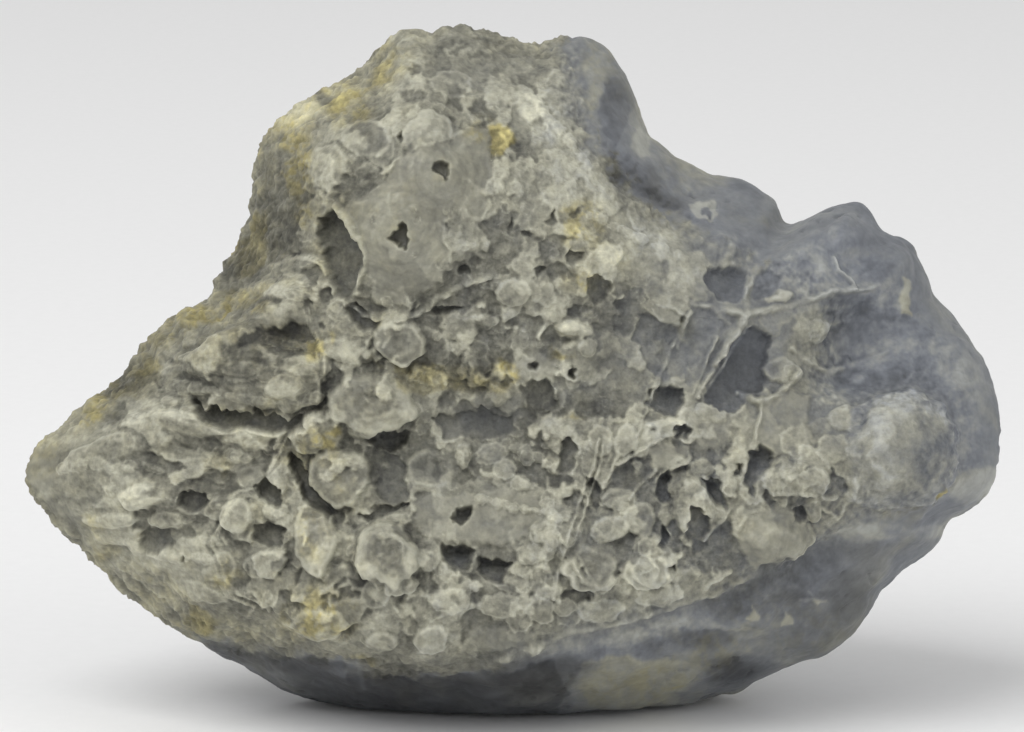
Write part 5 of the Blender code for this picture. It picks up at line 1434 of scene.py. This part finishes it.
def slab_piece(name, level, maps):
    """A slab of the crust: a fine grid that follows the maps, closed by walls that end inside the stone."""
    outline = SLABS[name]
    bm = slab_grid(outline)
    count = len(bm.verts)
    brink = [edge for edge in bm.edges if edge.is_boundary]
    bmesh.ops.extrude_edge_only(bm, edges=brink)
    flat = coordinates(bm)[:, :2].T
    base = base_at(*flat, spread_at(*flat), True)
    surface, masks = dress(base, front_normals(flat, base), maps)
    _, sunk = slab_margin(outline, flat)
    surface[:, 2] -= SEAM_DIP * sunk + SLAB_OFFSET * level
    surface[count:, 2] = base.points[count:, 2] + base.behind[count:]
    place_points(bm, set_down(surface))
    write_masks(bm, masks)
    foot = [edge for edge in bm.edges if edge.is_boundary]
    bmesh.ops.contextual_create(bm, geom=foot)
    bmesh.ops.triangulate(bm, faces=bm.faces, quad_method="SHORT_EDGE", ngon_method="EAR_CLIP")
    return piece_from(bm, name)


class Nodes:
    """Builds a material's nodes in code: each call adds one node and returns the output asked for."""

    def __init__(self, material):
        material.use_nodes = True
        self.tree = material.node_tree
        self.shader = self.tree.nodes["Principled BSDF"]

    def feed(self, **values):
        """Links values to the shader's sockets, whose names have _ for a space."""
        for name, value in values.items():
            self.tree.links.new(value, self.shader.inputs[name.replace("_", " ")])

    def set(self, **values):
        """Sets the shader's own sockets, whose names have _ for a space."""
        for name, value in values.items():
            self.shader.inputs[name.replace("_", " ")].default_value = value

    def add(self, kind, inputs=(), output=0, **settings):
        """Adds a node; its inputs are values or the outputs of other nodes."""
        node = self.tree.nodes.new(kind)
        for name, value in settings.items():
            setattr(node, name, value)
        for key, value in dict(inputs).items():
            if isinstance(value, bpy.types.NodeSocket):
                self.tree.links.new(value, node.inputs[key])
            else:
                node.inputs[key].default_value = value
        return node.outputs[output]

    def mask(self, name):
        """A mask that is written on the mesh."""
        return self.add("ShaderNodeAttribute", output="Fac", attribute_name=name)

    def math(self, operation, a, b=0.5, c=0.5):
        """A step of arithmetic with up to three values."""
        return self.add("ShaderNodeMath", {0: a, 1: b, 2: c}, operation=operation)

    def blend(self, share, a, b, way="MIX"):
        """Two colours blended."""
        inputs = {"Factor": share, 6: a, 7: b}
        return self.add("ShaderNodeMix", inputs, output=2, data_type="RGBA", blend_type=way)

    def span(self, value, low, high):
        """A smooth rise from 0 at low to 1 at high."""
        inputs = {"Value": value, "From Min": low, "From Max": high}
        return self.add("ShaderNodeMapRange", inputs, interpolation_type="SMOOTHSTEP")

    def grain(self, place, scale, detail=3.0, roughness=0.65):
        """Fine noise from 0 to 1."""
        inputs = {"Vector": place, "Scale": scale, "Detail": detail, "Roughness": roughness}
        return self.add("ShaderNodeTexNoise", inputs, output="Fac")


# The grain of the stone: how many lumps a metre holds, and how deep they look, in metres
BROAD_GRAIN, FINE_GRAIN = 600, 1700
BUMP_DEPTH = 0.00035

# How far light goes under the surface, in metres, and what share of it does
GLOW_DEPTH, GLOW_SHARE = 0.001, 0.4

# The exponent that turns display values into linear ones
DISPLAY_GAMMA = 2.2

MATERIAL = "weathered chalcedony"


def stone_material(settings):
    """Pale crust, yellow stains and blue-grey chalcedony, told apart by the mesh's masks; the hollows are
    grey from painted shade in the light mask.
    """
    material = bpy.data.materials.new(MATERIAL)
    nodes = Nodes(material)
    place = nodes.add("ShaderNodeTexCoord", output="Object")
    light, warm, crust = nodes.mask("light"), nodes.mask("warm"), nodes.mask("crust")
    rough_share = nodes.math("MULTIPLY", crust, nodes.math("MULTIPLY_ADD", nodes.mask("smooth"), -0.85, 1.0))
    broad = nodes.math("SUBTRACT", nodes.grain(place, BROAD_GRAIN), 0.5)
    fine = nodes.math("SUBTRACT", nodes.grain(place, FINE_GRAIN), 0.5)
    grains = nodes.math("MULTIPLY_ADD", fine, 0.26, nodes.math("MULTIPLY", broad, 0.26))
    uneven = nodes.math("MULTIPLY", grains, nodes.math("MULTIPLY_ADD", rough_share, 0.6, 0.36))
    bright = nodes.math("MAXIMUM", nodes.math("ADD", light, uneven), 0.1)
    bright = nodes.math("POWER", nodes.math("MULTIPLY", bright, 2.0), DISPLAY_GAMMA)
    warmth = nodes.math("MULTIPLY_ADD", nodes.math("MULTIPLY", broad, crust), 0.25, warm)
    tint = nodes.blend(nodes.span(warmth, 0.0, 0.4), settings.bare_colour, settings.crust_colour)
    tint = nodes.blend(nodes.span(warmth, 0.35, 1.0), tint, settings.ochre_colour)
    colour = nodes.blend(1.0, tint, bright, "MULTIPLY")
    roughness = nodes.math("MULTIPLY_ADD", rough_share, 0.3, nodes.math("MULTIPLY_ADD", broad, 0.3, 0.5))
    height = nodes.math("MULTIPLY_ADD", fine, 0.5, broad)
    strength = nodes.math("MULTIPLY_ADD", rough_share, 0.6, 0.15)
    bump = nodes.add("ShaderNodeBump", {"Strength": strength, "Distance": BUMP_DEPTH, "Height": height})
    nodes.feed(Base_Color=colour, Roughness=roughness, Normal=bump)
    nodes.set(Subsurface_Weight=GLOW_SHARE, Subsurface_Radius=(1.0, 0.95, 0.95), Subsurface_Scale=GLOW_DEPTH)
    return material


def srgb(red, green, blue):
    """A colour given in 0 to 255 display values, as Blender's linear ones."""
    def linear(value):
        value /= 255
        return value / 12.92 if value <= 0.04045 else ((value + 0.055) / 1.055) ** 2.4

    return (linear(red), linear(green), linear(blue), 1.0)


def colour_property(name, description, default):
    """A colour that a user can change."""
    return FloatVectorProperty(
        name=name, description=description, default=default, size=4, min=0, max=1, subtype="COLOR"
    )


class StoneSettings(bpy.types.PropertyGroup):
    """The sizes and colours of the stone."""

    shell_count: IntProperty(
        name="Shells", description="How many small shells are scattered over the crust", default=750, min=0
    )
    seed: IntProperty(name="Seed", description="Which scatter of small shells is used", default=5, min=0)
    floor_size: FloatProperty(
        name="Floor", description="Width of the floor the stone stands on", default=3.0, unit="LENGTH"
    )
    camera_distance: FloatProperty(
        name="Camera Distance", description="From the camera to the stone's face", default=0.7, unit="LENGTH"
    )
    bare_colour: colour_property("Bare Stone", "Bare chalcedony of middle lightness", srgb(118, 123, 133))
    crust_colour: colour_property("Crust", "Crust of middle lightness", srgb(130, 129, 116))
    ochre_colour: colour_property("Ochre", "Yellow stains of middle lightness", srgb(138, 130, 88))


def finish(piece, settings):
    """Gives a piece of the stone its material, and says what it is a piece of."""
    material = bpy.data.materials.get(MATERIAL) or stone_material(settings)
    piece.data.materials.append(material)
    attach(piece, "root")
    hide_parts("chalcedony")


class CHALCEDONY_OT_stone(bpy.types.Operator):
    """Build the body of the stone"""

    bl_idname = "chalcedony.stone"
    bl_label = "Build Stone"
    bl_options = {"REGISTER", "UNDO"}

    def execute(self, context):
        settings = context.scene.chalcedony
        finish(stone_piece(face_maps(settings.shell_count, settings.seed)), settings)
        return {"FINISHED"}


class CHALCEDONY_OT_crust(bpy.types.Operator):
    """Build the crust of the face, with its shells and hollows"""

    bl_idname = "chalcedony.crust"
    bl_label = "Build Crust"
    bl_options = {"REGISTER", "UNDO"}

    def execute(self, context):
        settings = context.scene.chalcedony
        maps = face_maps(settings.shell_count, settings.seed)
        for level, name in enumerate(SLABS):
            finish(slab_piece(name, level, maps), settings)
        return {"FINISHED"}


class CHALCEDONY_OT_stage(bpy.types.Operator):
    """Set out the floor, the lights and the camera"""

    bl_idname = "chalcedony.stage"
    bl_label = "Set Stage"
    bl_options = {"REGISTER", "UNDO"}

    def execute(self, context):
        settings = context.scene.chalcedony
        floor_piece(settings)
        for name, (place, watts) in LIGHTS.items():
            soft_light(name, place, watts)
        sky()
        camera(settings)
        return {"FINISHED"}


# The lights: where each is, in metres, and its watts. They are LIGHT_SIZE wide and aim just over the floor.
LIGHTS = {"key": ((-0.5, -0.55, 1.0), 9.5), "fill": ((0.9, -0.7, 0.5), 3.0)}
LIGHT_SIZE = 0.9
LIGHT_AIM = (0, 0, 0.03)
SKY_STRENGTH = 0.56

# The greys that the paper of the floor is between
PAPER_GREYS = (0.86, 0.86, 0.86, 1), (0.9, 0.9, 0.9, 1)


def floor_piece(settings):
    """A pale floor that sweeps up behind the stone."""
    half = settings.floor_size / 2
    bm = bmesh.new()
    bmesh.ops.create_grid(bm, x_segments=1, y_segments=1, size=half)
    back = [edge for edge in bm.edges if all(v.co.y > 0 for v in edge.verts)]
    centre = (0, half, half / 3)
    swept = bmesh.ops.spin(bm, geom=back, cent=centre, axis=(1, 0, 0), angle=radians(90), steps=16)
    top = [item for item in swept["geom_last"] if isinstance(item, bmesh.types.BMEdge)]
    raised = bmesh.ops.extrude_edge_only(bm, edges=top)
    verts = [item for item in raised["geom"] if isinstance(item, bmesh.types.BMVert)]
    bmesh.ops.translate(bm, vec=(0, 0, half), verts=verts)
    floor = piece_from(bm, "floor")
    floor.data.materials.append(paper_material())
    return floor


def paper_material():
    """The pale matt paper of the floor."""
    material = bpy.data.materials.new("floor")
    nodes = Nodes(material)
    grain = nodes.grain(nodes.add("ShaderNodeTexCoord", output="Object"), BROAD_GRAIN, roughness=0.6)
    nodes.feed(Base_Color=nodes.blend(grain, *PAPER_GREYS))
    nodes.set(Roughness=0.9)
    return material


def soft_light(name, place, watts):
    """A large square light that faces the stone."""
    light = bpy.data.lights.new(name, "AREA")
    light.shape = "SQUARE"
    light.size = LIGHT_SIZE
    light.energy = watts
    lamp = bpy.data.objects.new(name, light)
    lamp.location = place
    aim = Vector(LIGHT_AIM) - Vector(place)
    lamp.rotation_euler = aim.to_track_quat("-Z", "Y").to_euler()
    bpy.context.scene.collection.objects.link(lamp)


def sky():
    """Even white light from all round."""
    world = bpy.data.worlds.new("studio")
    world.use_nodes = True
    background = world.node_tree.nodes["Background"]
    background.inputs["Color"].default_value = (1, 1, 1, 1)
    background.inputs["Strength"].default_value = SKY_STRENGTH
    bpy.context.scene.world = world


# The camera's film, in mm, and how wide a view it has of the stone's face, in metres
SENSOR_WIDTH = 36.0
VIEW_WIDTH = 0.1024


def camera(settings):
    """Looks squarely at the stone's face, from a little above."""
    data = bpy.data.cameras.new("camera")
    data.sensor_width = SENSOR_WIDTH
    data.lens = SENSOR_WIDTH * settings.camera_distance / VIEW_WIDTH
    looker = bpy.data.objects.new("camera", data)
    towards = Vector((0, -cos(LEAN), sin(LEAN)))
    aim = Vector((-MIDDLE.x, -MIDDLE.y, -REST_LEVEL)) * MM
    looker.location = aim + towards * settings.camera_distance
    looker.rotation_euler = (-towards).to_track_quat("-Z", "Y").to_euler()
    bpy.context.scene.collection.objects.link(looker)
    bpy.context.scene.camera = looker
    bpy.context.scene.view_settings.view_transform = "Standard"


class CHALCEDONY_PT_panel(bpy.types.Panel):
    """Lists the stone's sizes, colours and building steps"""

    bl_idname = "CHALCEDONY_PT_panel"
    bl_label = "Chalcedony"
    bl_space_type = "VIEW_3D"
    bl_region_type = "UI"
    bl_category = "Chalcedony"

    def draw(self, context):
        settings = context.scene.chalcedony
        for name in StoneSettings.__annotations__:
            self.layout.prop(settings, name)
        for operator in OPERATORS:
            self.layout.operator(operator.bl_idname)


OPERATORS = (CHALCEDONY_OT_stone, CHALCEDONY_OT_crust, CHALCEDONY_OT_stage)
CLASSES = (StoneSettings, *OPERATORS, CHALCEDONY_PT_panel)


def register():
    """Makes Blender know the add-on's classes and settings."""
    for cls in CLASSES:
        bpy.utils.register_class(cls)
    bpy.types.Scene.chalcedony = PointerProperty(type=StoneSettings)


def unregister():
    """Takes the add-on's classes and settings out again."""
    del bpy.types.Scene.chalcedony
    for cls in reversed(CLASSES):
        bpy.utils.unregister_class(cls)


def main():
    """Builds the pieces and the stage."""
    register()
    bpy.ops.chalcedony.stone()
    bpy.ops.chalcedony.crust()
    bpy.ops.chalcedony.stage()


if __name__ == "__main__":
    main()
